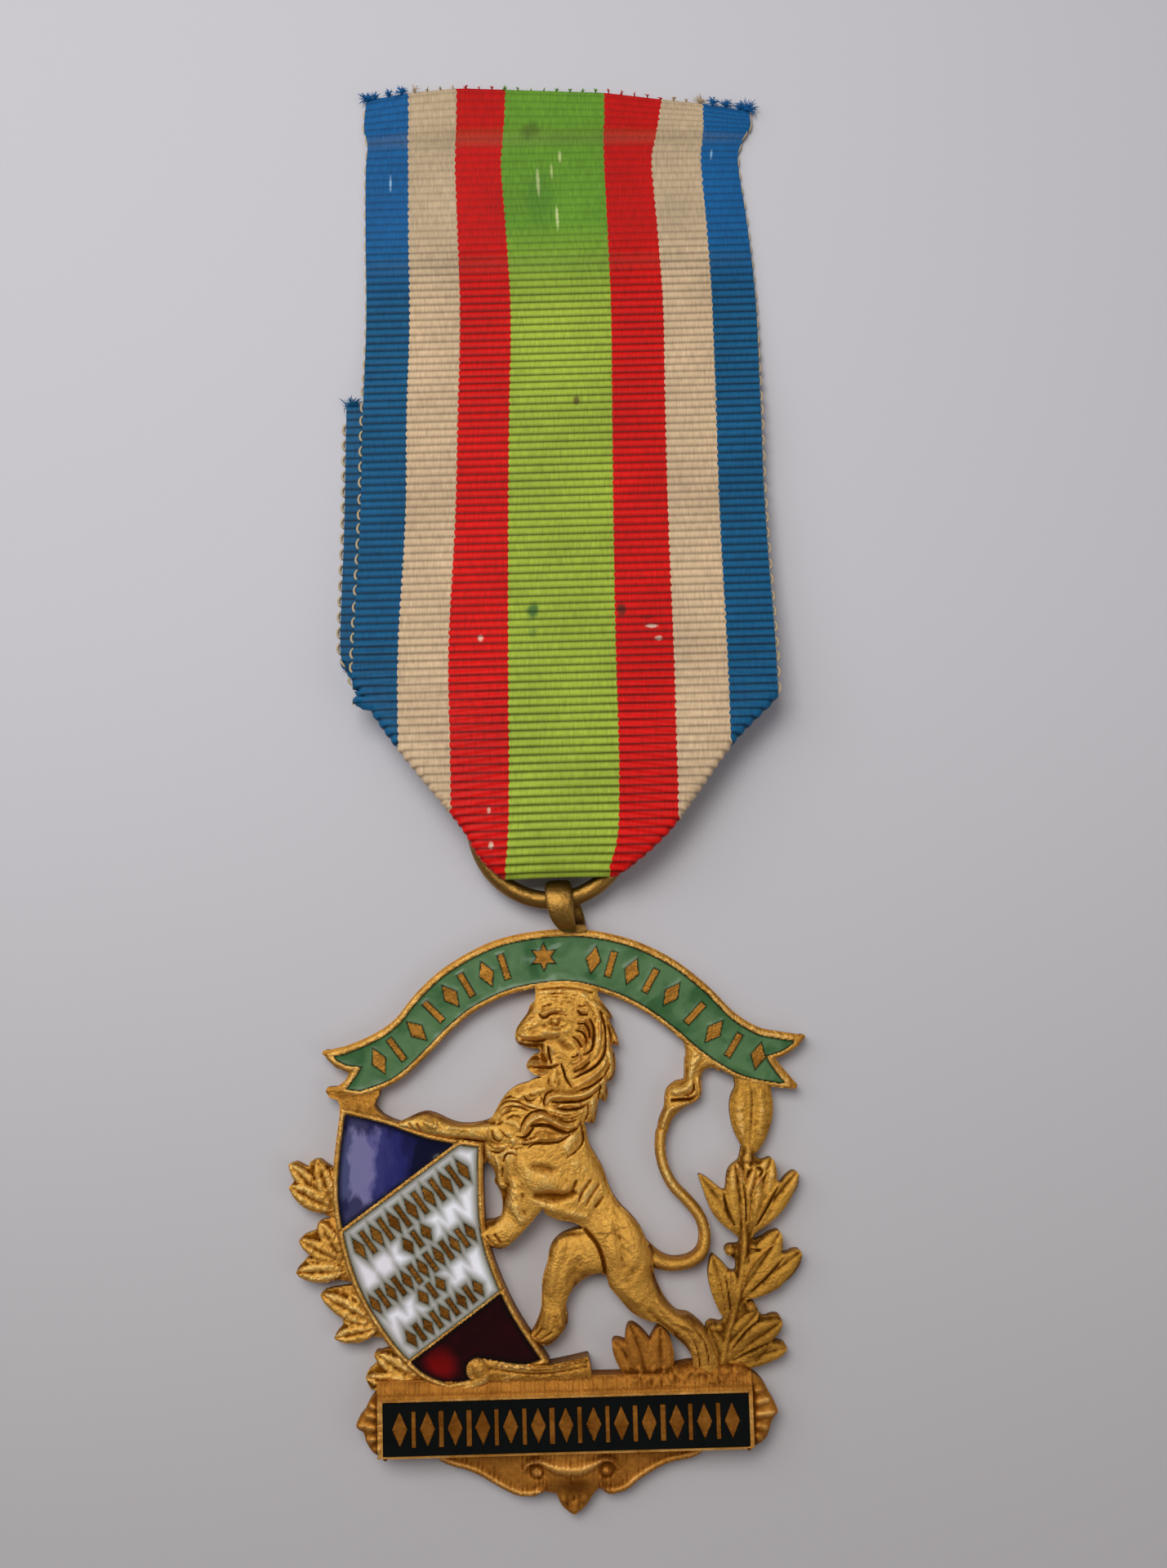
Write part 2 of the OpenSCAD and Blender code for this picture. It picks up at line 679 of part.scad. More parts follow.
module shield_white() {
    color("white")
        translate(drawing_shift + [0, 0, shield_floor + cell_gap])
            linear_extrude(enamel_t)
                difference() {
                    white_cell(shield_rim + cell_gap);
                    offset(delta = cell_gap)
                        white_ornaments();
                }
}

module shield_red() {
    color("darkred")
        translate(drawing_shift + [0, 0, shield_floor + cell_gap])
            linear_extrude(enamel_t)
                red_cell(shield_rim + cell_gap);
}

module plaque_enamel() {
    color("black")
        translate(drawing_shift + [0, 0, plaque_floor + cell_gap])
            linear_extrude(enamel_t)
                difference() {
                    plaque_cell(cell_gap);
                    offset(delta = cell_gap)
                        plaque_ornaments();
                }
}

module suspension_ring() {
    color("darkgoldenrod")
        translate(drawing_shift + ring_centre)
            rotate_extrude()
                translate([(ring_d - wire_d) / 2, 0])
                    circle(wire_d / 2);
}

// A short upright post of cloth, whose foot is at a point
module post(x, y, z, t) {
    translate([x, y, z + t / 2])
        cube([0.1, 0.1, t], center = true);
}

// A stretch of a fall between two rows of its table
module stretch(a, b) {
    hull() {
        for (row = [a, b]) {
            post(row[0], row[1], row[4], cloth_t);
            post(row[2], row[3], row[4], cloth_t);
        }
    }
}

// One row of the bight, round in section like the cloth's edge
module bight_bar(row) {
    translate([row[2], row[0], row[1]])
        rotate([0, 90, 0])
            cylinder(d = cloth_t, h = row[3] - row[2], $fn = 10);
}

module ribbon() {
    color("seagreen")
        translate(drawing_shift) {
            hull() {
                for (p = top_edge)
                    post(p[0], p[1], 0, cloth_t);
                stretch(front_rows[0], front_rows[0]);
            }
            for (k = [0:len(front_rows) - 2])
                stretch(front_rows[k], front_rows[k + 1]);
            for (k = [0:len(back_rows) - 2])
                stretch(back_rows[k], back_rows[k + 1]);
            for (k = [0:len(bight_rows) - 2])
                hull() {
                    bight_bar(bight_rows[k]);
                    bight_bar(bight_rows[k + 1]);
                }
            for (corner = fold_corners)
                hull()
                    for (p = corner)
                        post(p[0], p[1], p[2], fold_t);
        }
}

badge_body();
scroll_enamel();
shield_blue();
shield_white();
shield_red();
plaque_enamel();
suspension_ring();
ribbon();
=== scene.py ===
# %% [markdown]
# # A gilt and enamel badge on a striped ribbon
# The badge lies face up on a table, with its ribbon folded to a point through the ring.
# The solids from the CAD step give every place and size. This script dresses them: the struck
# metal gets its relief, the cells get glossy enamel, and the ribbon becomes one folded sheet of
# ribbed silk. All lengths in the tables are millimetres, measured from the middle of the scroll.

# %% Start
import math
import re
import bpy
import numpy as np
from mathutils import Matrix


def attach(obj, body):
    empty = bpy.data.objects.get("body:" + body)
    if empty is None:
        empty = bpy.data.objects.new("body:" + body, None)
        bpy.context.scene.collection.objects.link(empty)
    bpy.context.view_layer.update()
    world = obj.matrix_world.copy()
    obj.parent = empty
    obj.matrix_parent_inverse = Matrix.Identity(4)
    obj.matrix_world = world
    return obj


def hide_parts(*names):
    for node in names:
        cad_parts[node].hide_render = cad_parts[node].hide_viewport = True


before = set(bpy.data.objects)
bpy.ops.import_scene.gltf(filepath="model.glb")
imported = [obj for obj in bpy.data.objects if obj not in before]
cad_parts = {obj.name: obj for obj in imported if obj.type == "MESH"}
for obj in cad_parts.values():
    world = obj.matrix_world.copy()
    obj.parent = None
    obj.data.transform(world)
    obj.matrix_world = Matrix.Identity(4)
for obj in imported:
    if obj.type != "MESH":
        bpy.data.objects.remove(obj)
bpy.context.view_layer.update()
MM = 0.001
DRAWING_SHIFT = np.array([1.885, -17.62, 0.0])
# the relief's grid step in mm, and a depth far outside every outline
FINE = 0.103
OUTSIDE = -9.0


def place(points):
    """Points of the drawing, in mm, as metres of the shared frame: add the shift, then scale."""
    return (np.asarray(points, dtype=float) + DRAWING_SHIFT) * MM


# %% [markdown]
# ## Camera
# A close view from above with a slight tilt, as one photographs a medal on a table. The camera
# stands 146 mm over the table, so near parts look a little larger than far ones. Its axes are
# given as three unit vectors, which is the surest way to state a roll as well as a tilt.

# %% Camera
CAMERA_AT = [1.514, -0.887, 145.956]
CAMERA_RIGHT = np.array([0.99961, -0.02792, 0.0])
CAMERA_AWAY = np.array([0.00316, 0.11316, -0.99357])
camera_up = np.cross(CAMERA_RIGHT, CAMERA_AWAY)
camera_data = bpy.data.cameras.new("camera")
camera_data.lens = 37.5
camera_data.sensor_width = 36
camera_data.clip_start = 0.01
camera_data.clip_end = 5
camera = bpy.data.objects.new("camera", camera_data)
bpy.context.scene.collection.objects.link(camera)
camera_turn = np.column_stack([CAMERA_RIGHT, camera_up, -CAMERA_AWAY])
camera.matrix_world = Matrix.Translation(place(CAMERA_AT)) @ Matrix(camera_turn.tolist()).to_4x4()
bpy.context.scene.camera = camera
print("camera at", [round(c, 4) for c in place(CAMERA_AT)])

# %% [markdown]
# ## Curves and meshes
# Almost every form here follows a spine: a short table of rows that a smooth curve joins. The
# curve passes through each row, so a table reads like measurements taken along the real form.

# %% Curves and meshes


def measures(text):
    """A table from text: spaces part the columns, commas the rows, and # starts a note."""
    text = re.sub("#.*", "", text)
    return [[float(c) for c in row.split()] for row in text.split(",") if row.strip()]


def forms(text):
    """Several tables from one text, parted by semicolons."""
    return [measures(part) for part in re.sub("#.*", "", text).split(";") if part.strip()]


def curve(rows, steps):
    """Catmull-Rom curve through rows of any number of columns, with steps points between rows."""
    p = np.asarray(rows, dtype=float)
    p = np.vstack([p[:1], p, p[-1:]])
    t = np.arange(steps)[:, None] / steps
    a, b, c, d = (p[k : len(p) - 3 + k, None, :] for k in range(4))
    t = t[None]
    s = 0.5 * (2 * b + (c - a) * t + (2 * a - 5 * b + 4 * c - d) * t**2
               + (3 * b - a - 3 * c + d) * t**3)
    return np.vstack([s.reshape(-1, p.shape[1]), p[-1:]])


def smoothstep(x, low, high):
    """0 below low, 1 above high, and an S curve between them."""
    t = np.clip((x - low) / (high - low), 0, 1)
    return t * t * (3 - 2 * t)


def make_piece(name, points, faces, attributes=None, uv=None, sharp=0):
    """A mesh object from arrays: points in drawing mm, faces as arrays of 3 or more corners each. Edges
    that turn by more than sharp degrees stay crisp, and 0 leaves them all soft."""
    mesh = bpy.data.meshes.new(name)
    points = place(points)
    mesh.vertices.add(len(points))
    mesh.vertices.foreach_set("co", points.ravel())
    corners = np.concatenate([f.ravel() for f in faces]).astype(np.int32)
    counts = np.concatenate([np.full(len(f), f.shape[1]) for f in faces])
    starts = np.concatenate([[0], np.cumsum(counts)[:-1]]).astype(np.int32)
    mesh.loops.add(len(corners))
    mesh.loops.foreach_set("vertex_index", corners)
    mesh.polygons.add(len(counts))
    mesh.polygons.foreach_set("loop_start", starts)
    mesh.update(calc_edges=True)
    mesh.validate()
    for key, values in (attributes or {}).items():
        layer = mesh.attributes.new(key, "FLOAT", "POINT")
        layer.data.foreach_set("value", np.asarray(values, dtype=np.float32))
    if uv is not None:
        layer = mesh.uv_layers.new(name="UVMap")
        layer.data.foreach_set("uv", np.asarray(uv, dtype=np.float32)[corners].ravel())
    mesh.polygons.foreach_set("use_smooth", np.ones(len(counts), dtype=bool))
    if sharp:
        mesh.set_sharp_from_angle(angle=math.radians(sharp))
    piece = bpy.data.objects.new(name, mesh)
    bpy.context.scene.collection.objects.link(piece)
    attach(piece, "root")
    triangles = int((counts - 2).sum())
    print(f"{name}: {len(points)} points, {triangles} triangles")
    return piece


def tube_faces(tubes, rings, around, first=0):
    """Faces of tubes whose points run round ring after ring: quads between the rings, and two caps each."""
    a, b, c = np.meshgrid(np.arange(tubes), np.arange(rings - 1), np.arange(around), indexing="ij")
    d, start = (c + 1) % around, first + (a * rings + b) * around
    quads = np.stack([start + c, start + d, start + around + d, start + around + c], axis=-1)
    root = first + np.arange(tubes)[:, None] * rings * around
    ring = np.arange(around)[None]
    return [quads.reshape(-1, 4), root + ring[:, ::-1], root + (rings - 1) * around + ring]


def dress(piece, material, cad_node=None):
    """Gives a piece its material, and lets it stand for a CAD node."""
    piece.data.materials.append(material)
    if cad_node:
        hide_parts(cad_node)
    return piece


# %% [markdown]
# ## Struck relief
# Struck metal has no undercuts: seen from above, every point has one height. So each part of
# the badge is a height map over a fine square grid. A second map holds the distance to the
# part's outline, and the mesh is cut along that outline's zero line, which keeps edges crisp.
# The side walls drop to the flat back, and the bottom closes the solid.

# %% Struck relief


class Relief:
    """A height map over a rectangle of the drawing: depth inside the outline, and height, in mm."""

    def __init__(self, left, right, low, high, step=FINE):
        self.step = step
        self.x = np.arange(left, right + step, step)
        self.y = np.arange(low, high + step, step)
        self.X, self.Y = np.meshgrid(self.x, self.y)
        self.depth = np.full(self.X.shape, OUTSIDE)
        self.top = np.zeros(self.X.shape)

    def window(self, xa, xb, ya, yb):
        """The part of the grid that covers a small rectangle, as two slices."""
        found = [np.clip([(low - axis[0]) / self.step, (high - axis[0]) / self.step + 2], 0, len(axis))
                 for low, high, axis in ((ya, yb, self.y), (xa, xb, self.x))]
        return tuple(slice(*ends.astype(int)) for ends in found)

    def spine(self, rows, profile, steps=5):
        """Depth and rise of a form round a spine of rows x, y, half width, amount.
        Along each short piece of the spine, u is the distance over the half width there."""
        depth = np.full(self.X.shape, OUTSIDE)
        rise = np.zeros(self.X.shape)
        s = curve(rows, steps)
        for a, b in zip(s[:-1], s[1:]):
            reach = max(a[2], b[2]) + 3 * self.step
            w = self.window(min(a[0], b[0]) - reach, max(a[0], b[0]) + reach,
                            min(a[1], b[1]) - reach, max(a[1], b[1]) + reach)
            dx, dy = b[0] - a[0], b[1] - a[1]
            t = ((self.X[w] - a[0]) * dx + (self.Y[w] - a[1]) * dy) / max(dx * dx + dy * dy, 1e-9)
            t = np.clip(t, 0, 1)
            away = np.hypot(self.X[w] - a[0] - t * dx, self.Y[w] - a[1] - t * dy)
            half = np.maximum(a[2] + (b[2] - a[2]) * t, 1e-3)
            u = np.minimum(away / half, 1)
            depth[w] = np.maximum(depth[w], half - away)
            rise[w] = np.maximum(rise[w], (a[3] + (b[3] - a[3]) * t) * profile(u))
        return depth, rise

    def merge(self, depth, height, blend=0.1):
        """Joins a form to the relief: the higher one shows, with a soft crease of the blend's size."""
        both = (self.depth > 0) & (depth > 0)
        highest = np.maximum(self.top, height)
        soft = highest + blend * (np.log1p(np.exp(-np.abs(self.top - height) / blend)) - 0.5 * math.log(2))
        self.top = np.where(both, soft, np.where(depth > 0, height, self.top))
        self.depth = np.maximum(self.depth, depth)

    def form(self, rows, edge=1.2, blend=0.1, roundness=0.7, power=2.0):
        """A rounded form whose rows are x, y, half width and crest height: it rises from the edge's
        height as (1 - u^power)^roundness."""
        rows = np.array(rows, dtype=float)
        rows[:, 3] -= edge
        depth, rise = self.spine(rows, lambda u: (1 - u**power) ** roundness)
        self.merge(depth, edge + rise, blend)

    def figure(self, points, edge, crown, reach, steps=3, blend=0.1):
        """A cut-out shape whose top swells from its edge: edge + crown (1 - exp(-depth / reach))."""
        depth = self.inside(curve(list(points) + [points[0]], steps)[:-1])
        self.merge(depth, edge + crown * (1 - np.exp(-np.clip(depth, 0, None) / reach)), blend)
        return depth

    def strokes(self, zones, seed=1):
        """Fine graver's strokes at random places in round zones. A zone is x, y, radius, number, angle in
        degrees, spread, length and depth."""
        rng = np.random.default_rng(seed)
        for x, y, radius, number, angle, spread, length, amount in zones:
            for _ in range(int(1.4 * number)):
                r, a = radius * math.sqrt(rng.random()), rng.random() * 2 * math.pi
                turned = math.radians(angle + spread * (rng.random() - 0.5))
                half = 0.5 * length * (0.6 + 0.8 * rng.random())
                cx, cy = x + r * math.cos(a), y + r * math.sin(a)
                dx, dy = half * math.cos(turned), half * math.sin(turned)
                self.swell([[cx - dx, cy - dy, 0.08, -0.25 * amount], [cx, cy, 0.1, -0.8 * amount],
                            [cx + dx, cy + dy, 0.07, -0.25 * amount]])

    def swell(self, rows, profile=lambda u: (1 - u * u) ** 2):
        """Raises or, with a negative amount, sinks the surface along a spine."""
        rows = np.array(rows, dtype=float)
        sign = 1 if rows[:, 3].max() > 0 else -1
        rows[:, 3] = np.abs(rows[:, 3])
        self.top += sign * self.spine(rows, profile)[1] * (self.depth > 0)

    def boss(self, x, y, radius, rise, groove, sink):
        """A small ball in a round groove: rise exp(-(d / radius)^2) - sink exp(-(4 d / groove - 4)^2)."""
        w = self.window(x - 2 * groove, x + 2 * groove, y - 2 * groove, y + 2 * groove)
        away = np.hypot(self.X[w] - x, self.Y[w] - y)
        self.top[w] += rise * np.exp(-((away / radius) ** 2))
        self.top[w] -= sink * np.exp(-(((away - groove) / (0.25 * groove)) ** 2))

    def inside(self, points):
        """Distance to a closed outline, positive inside it."""
        p = np.asarray(points, dtype=float)
        q = np.roll(p, -1, axis=0)
        best = np.full(self.X.shape, 1e9)
        odd = np.zeros(self.X.shape, dtype=bool)
        for (ax, ay), (bx, by) in zip(p, q):
            dx, dy = bx - ax, by - ay
            t = np.clip(((self.X - ax) * dx + (self.Y - ay) * dy) / max(dx * dx + dy * dy, 1e-12), 0, 1)
            best = np.minimum(best, np.hypot(self.X - ax - t * dx, self.Y - ay - t * dy))
            if ay != by:
                odd ^= ((ay > self.Y) != (by > self.Y)) & (self.X < dx * (self.Y - ay) / dy + ax)
        return np.where(odd, best, -best)

    def leaf(self, row, edge=1.2, vein=0.03):
        """A leaf of two swelling, hatched halves with a sunk midrib. Its row is base x, y, tip x, y, half
        width, height and, where it isn't straight, bend. s being the way from base to tip, its half width
        is half sin(pi s^0.95)^0.62."""
        base, tip = np.array(row[:2]), np.array(row[2:4])
        half, height, bend = (row + [0.0])[4:7]
        long = np.linalg.norm(tip - base)
        ux, uy = (tip - base) / long
        w = self.window(min(base[0], tip[0]) - half, max(base[0], tip[0]) + half,
                        min(base[1], tip[1]) - half, max(base[1], tip[1]) + half)
        x, y = self.X[w] - base[0], self.Y[w] - base[1]
        s = (x * ux + y * uy) / long
        side = (y * ux - x * uy) + bend * np.sin(np.pi * np.clip(s, 0, 1))
        wide = half * np.sin(np.pi * np.clip(s, 1e-4, 1 - 1e-4) ** 0.95) ** 0.62
        t = np.clip(np.abs(side) / np.maximum(wide, 1e-3), 0, 1)
        swelling = 0.62 + 0.38 * np.sin(np.pi * (0.12 + 0.8 * t))
        hatch = 0.022 * np.sin(2 * np.pi * (s * long - np.abs(side) * 1.1) / 0.37) * smoothstep(t, 0.1, 0.3)
        z = edge + (height - edge) * swelling * smoothstep(s, -0.35, 0.5) + hatch
        z -= vein * np.exp(-((side / 0.11) ** 2)) * smoothstep(1 - s, 0.0, 0.25)
        z -= 0.25 * (height - edge) * smoothstep(s, 0.8, 1.0)
        depth = np.where((s > 0) & (s < 1), wide - np.abs(side), -1.0)
        full_depth = np.full(self.X.shape, OUTSIDE)
        full_z = np.zeros(self.X.shape)
        full_depth[w], full_z[w] = depth, z
        self.merge(full_depth, full_z, 0.05)

    def grain(self, amount, finest, coarsest, seed, waves=36):
        """Adds the uneven surface of struck metal: a sum of faint plane waves in all directions."""
        rng = np.random.default_rng(seed)
        total = np.zeros(self.X.shape)
        for _ in range(waves):
            length = finest * (coarsest / finest) ** rng.random()
            turned = rng.random() * 2 * np.pi
            phase = rng.random() * 2 * np.pi
            total += (length / coarsest) ** 0.5 * np.sin(
                2 * np.pi * (self.X * np.cos(turned) + self.Y * np.sin(turned)) / length + phase)
        self.top += amount * total / math.sqrt(waves) * (self.depth > 0)

    def hollows(self, radius=0.35):
        """How far each point lies below its surroundings in mm: the mean height round it, less its own."""
        n = max(int(radius / self.step), 1)
        mask = (self.depth > 0).astype(float)

        def blur(a):
            for axis in (0, 1, 0, 1):
                padding = [(n + 1, n) if k == axis else (0, 0) for k in (0, 1)]
                c = np.cumsum(np.pad(a, padding, mode="edge"), axis=axis)
                size, wide = a.shape[axis], 2 * n + 1
                a = (np.take(c, range(wide, wide + size), axis) - np.take(c, range(size), axis)) / wide
            return a

        return blur(self.top * mask) / np.maximum(blur(mask), 1e-6) - self.top

    def mesh(self, name, base, worn=0.1, sharp=52, stain_and_shade=OUTSIDE):
        """The closed mesh: top cells, cells cut along the outline, walls down to the base, and a bottom.
        worn rounds the top edge: it falls by worn (1 - depth / 0.16)^2 within 0.16 mm of the outline.
        Near the outline the painted hollow shade fades out, as the edges are rubbed bright; stain_and_shade
        is its least value, which darkens ornaments with dirt and paints lower parts darker as patina and
        painted shade."""
        d = self.depth
        z = self.top - worn * (1 - np.clip(d / 0.16, 0, 1)) ** 2
        hollow_shade_and_dirt = np.maximum(self.hollows() * smoothstep(d, -0.1, 0.4), stain_and_shade)
        rows, cols = d.shape
        inside = d > 0
        inside[[0, -1], :] = False
        inside[:, [0, -1]] = False
        count = int(inside.sum())
        node = np.full(d.shape, -1)
        node[inside] = np.arange(count)
        xs, ys, zs = [self.X[inside]], [self.Y[inside]], [z[inside]]
        fields = {"hollow_shade_and_dirt": hollow_shade_and_dirt, "edge_mm": np.maximum(d, 0)}
        values = {key: [field[inside]] for key, field in fields.items()}
        crossings = {}
        for kind, (dj, di) in {"x": (0, 1), "y": (1, 0)}.items():
            a = (slice(0, rows - dj), slice(0, cols - di))
            b = (slice(dj, rows), slice(di, cols))
            cut = inside[a] != inside[b]
            # the outline keeps a little away from the grid's points, so that no face is a sliver
            share = np.clip(np.abs(d[a]) / np.maximum(np.abs(d[a]) + np.abs(d[b]), 1e-9), 0.12, 0.88)
            near_a = inside[a]
            ids = np.full(cut.shape, -1)
            ids[cut] = count + np.arange(int(cut.sum()))
            count += int(cut.sum())
            xs.append((self.X[a] * (1 - share) + self.X[b] * share)[cut])
            ys.append((self.Y[a] * (1 - share) + self.Y[b] * share)[cut])
            zs.append(np.where(near_a, z[a], z[b])[cut])
            for key, field in fields.items():
                values[key].append(np.where(near_a, field[a], field[b])[cut])
            crossings[kind] = ids
        # a cell's corners lie inside or outside in one of 16 ways, and like cells get like faces: a loop
        # of the corners inside and the crossings, and a wall between leaving the form and coming back
        corner = [node[:-1, :-1], node[:-1, 1:], node[1:, 1:], node[1:, :-1]]
        edge = [crossings["x"][:-1], crossings["y"][:, 1:], crossings["x"][1:], crossings["y"][:, :-1]]
        case = sum((corner[k] >= 0) * 2**k for k in range(4))
        tops, walls = [], []
        for number in range(1, 16):
            here = case == number
            if not here.any():
                continue
            loop, leaving = [], []
            for k in range(4):
                has, has_next = number >> k & 1, number >> ((k + 1) % 4) & 1
                if has:
                    loop.append(corner[k][here])
                if has and not has_next:
                    leaving.append(len(loop))
                if has != has_next:
                    loop.append(edge[k][here])
            tops.append(np.column_stack(loop))
            for k in leaving:
                walls.append(np.column_stack([loop[(k + 1) % len(loop)], loop[k]]))
        top_points = np.column_stack([np.concatenate(xs), np.concatenate(ys), np.concatenate(zs)])
        bottom_points = top_points.copy()
        bottom_points[:, 2] = base
        walls = np.vstack(walls)
        faces = tops + [t[:, ::-1] + count for t in tops]
        faces.append(np.column_stack([walls[:, 0], walls[:, 1], walls[:, 1] + count, walls[:, 0] + count]))
        attributes = {}
        for key, parts in values.items():
            back = np.full(count, 0.1 if key == "hollow_shade_and_dirt" else 0.0)
            attributes[key] = np.concatenate(parts + [back])
        return make_piece(name, np.vstack([top_points, bottom_points]), faces, attributes, sharp=sharp)


print("grid step", FINE, "mm")

# %% [markdown]
# ## Materials
# One helper adds a shader node with its settings and links. Colours are written as sRGB hex
# values, as one reads them from a photograph, and turned to linear light by one function.

# %% Material helpers


def colour(hex_value, alpha=1.0):
    """An sRGB hex colour as linear RGBA."""
    parts = [int(hex_value[k : k + 2], 16) / 255 for k in (1, 3, 5)]
    return [c / 12.92 if c <= 0.04045 else ((c + 0.055) / 1.055) ** 2.4 for c in parts] + [alpha]


def join(tree, n, **links):
    """Sets or links a node's inputs. A key is the input's name with _ for spaces, or in0, in1 for a
    numbered one. Its value is a number, a colour, an output, or a node, whose first output is meant."""
    for key, value in links.items():
        numbered = re.fullmatch(r"in(\d+)", key)
        socket = n.inputs[int(numbered[1]) if numbered else key.replace("_", " ")]
        if isinstance(value, bpy.types.Node):
            value = value.outputs[0]
        if isinstance(value, bpy.types.NodeSocket):
            tree.links.new(value, socket)
        else:
            socket.default_value = value


def node(tree, kind, settings=None, stops=(), **links):
    """Adds a shader node. settings are its properties, or the name of its operation alone, and stops are
    the places and hex colours of a colour ramp."""
    n = tree.nodes.new("ShaderNode" + kind)
    if isinstance(settings, str):
        settings = {"operation": settings}
    for key, value in (settings or {}).items():
        setattr(n.color_ramp if key == "interpolation" else n, key, value)
    if stops:
        elements = n.color_ramp.elements
        while len(elements) < len(stops):
            elements.new(0.5)
        for element, (at, hue) in zip(elements, stops):
            element.position = at
            element.color = colour(hue)
    join(tree, n, **links)
    return n


def start_material(name):
    """An empty material with its shader and output joined: returns material, tree, shader."""
    material = bpy.data.materials.new(name)
    material.use_nodes = True
    tree = material.node_tree
    tree.nodes.clear()
    shader = node(tree, "BsdfPrincipled")
    node(tree, "OutputMaterial", Surface=shader)
    return material, tree, shader


SOFT_RAMP = {"interpolation": "EASE"}
SMOOTH = {"interpolation_type": "SMOOTHSTEP"}
COLOURS = {"data_type": "RGBA"}
print("sRGB #808080 in linear light", round(colour("#808080")[0], 3))

# %% [markdown]
# ### Worn gilding over struck bronze, with painted shade
# Mercury or electro gilding is a thin gold layer, rubbed bright on the crests by hands. Here its
# colour is painted lighter on the crests and dark brown in the hollows, which is painted shade. The
# height maps carry a "hollow_shade_and_dirt" value, so the shader knows where the low places are, and
# where stains and painted shade darken it further. The strike and the chasing leave a fine grain of
# 0.1 to 0.3 mm, which is given as bump.

# %% Gilding


def gilding(name, bright, body, low, grain=0.1, rough=0.4, stroke=None):
    """Gilt metal, painted bright on crests and dark in hollows as painted shade. grain is in mm, and
    stroke = (x, y) stretches the fine grain into brush lines across that direction."""
    material, tree, shader = start_material(name)
    where = node(tree, "TexCoord").outputs["Object"]
    hollow_shade_and_dirt = node(tree, "Attribute", {"attribute_name": "hollow_shade_and_dirt"}).outputs["Fac"]
    patches = node(tree, "TexNoise", Vector=where, Scale=420.0, Detail=4.0, Roughness=0.6)
    speckle = node(tree, "TexNoise", Vector=where, Scale=2600.0, Detail=3.0, Roughness=0.7)
    # painted shade: the further a point lies below its surroundings, the nearer its colour comes to the
    # dark low one
    level = node(tree, "MapRange", Value=hollow_shade_and_dirt, From_Min=-0.06, From_Max=0.24)
    uneven = node(tree, "Math", "MULTIPLY_ADD", in0=patches, in1=0.55, in2=level)
    uneven = node(tree, "Math", "MULTIPLY_ADD", in0=speckle, in1=0.16, in2=uneven)
    shade = node(tree, "ValToRGB", SOFT_RAMP, ((0.22, bright), (0.48, body), (1.0, low)), in0=uneven)
    dull = node(tree, "MapRange", Value=uneven, From_Min=0.2, From_Max=1.1, To_Min=rough,
                To_Max=rough + 0.3)
    # a noise of scale n has n waves a metre, and its grains are half a wave wide
    grit = 1000 / (grain * 2)
    along = node(tree, "Mapping", Vector=where, Scale=(*stroke, 1)) if stroke else where
    fine = node(tree, "TexNoise", Vector=along, Scale=grit, Detail=5.0, Roughness=0.65)
    coarse = node(tree, "TexNoise", Vector=where, Scale=grit / 4, Detail=2.0, Roughness=0.5)
    both = node(tree, "Math", "MULTIPLY_ADD", in0=coarse, in1=0.8, in2=fine)
    bump = node(tree, "Bump", Strength=0.9, Distance=0.00011, Height=both)
    join(tree, shader, Base_Color=shade, Roughness=dull, Metallic=1.0, Normal=bump)
    return material


gilt = gilding("worn_gilding_with_painted_hollow_shade", "#EDC87A", "#DFA94E", "#85500F")
gilt_dull = gilding("dull_gilding_of_low_relief", "#EFC070", "#D29E43", "#7A4E18", rough=0.44)
# the base and the pendant get a darker, redder body colour: partly patina, partly painted shade of the
# light falling off towards the badge's foot
gilt_brushed = gilding("gilding_brushed_across", "#E4B062", "#BE8236", "#7E4A16", 0.1, 0.5, (1.0, 0.14))
gilt_rim = gilding("rubbed_rim_gilding_with_painted_hollow_shade", "#DFB062", "#BA8336", "#683D13", 0.12, 0.38)
gilt_ring = gilding("old_darkened_gilding_of_wire", "#CBA75C", "#987236", "#43331D", 0.3, 0.3)
print("gildings", [m.name for m in (gilt, gilt_dull, gilt_brushed, gilt_rim, gilt_ring)])

# %% [markdown]
# ## The scroll
# A bronze band with a raised rim and a trough for the enamel. Its middle line is an arch with
# flared ends, cut to swallow tails. The rim's top is slightly round from wear. Lozenges and
# billets stand up from the trough's floor to the enamel's level, with a star in the middle.

# %% Scroll tables
SCROLL_ROWS = measures("""
-18.9 -9.1 2.25, -16.2 -8.1 2.3, -13.8 -6.35 2.1, -11.4 -3.85 2.25, -8.8 -1.9 2.35, -4.9 -.25 2.45,
.2 .28 2.48, 4.4 -.6 2.6, 7.75 -2.2 2.62, 10.5 -4.3 2.55, 13.1 -6.8 2.4, 15.8 -8.5 2.4, 18.5 -9.15 2.4""")
FORK_LEFT = measures("""
-21.45 -7.3, -21.05 -8, -20.3 -8.75, -19.5 -9.05, -19.15 -9.25, -19.5 -9.85, -20.1 -10.3, -20.8 -10.55,
-21.15 -10.8""")
FORK_RIGHT = measures("""
20.75 -7.1, 20.2 -7.85, 19.3 -8.5, 18.6 -8.85, 18 -9, 18.85 -10.1, 19.85 -11.3, 19.6 -11.68""")
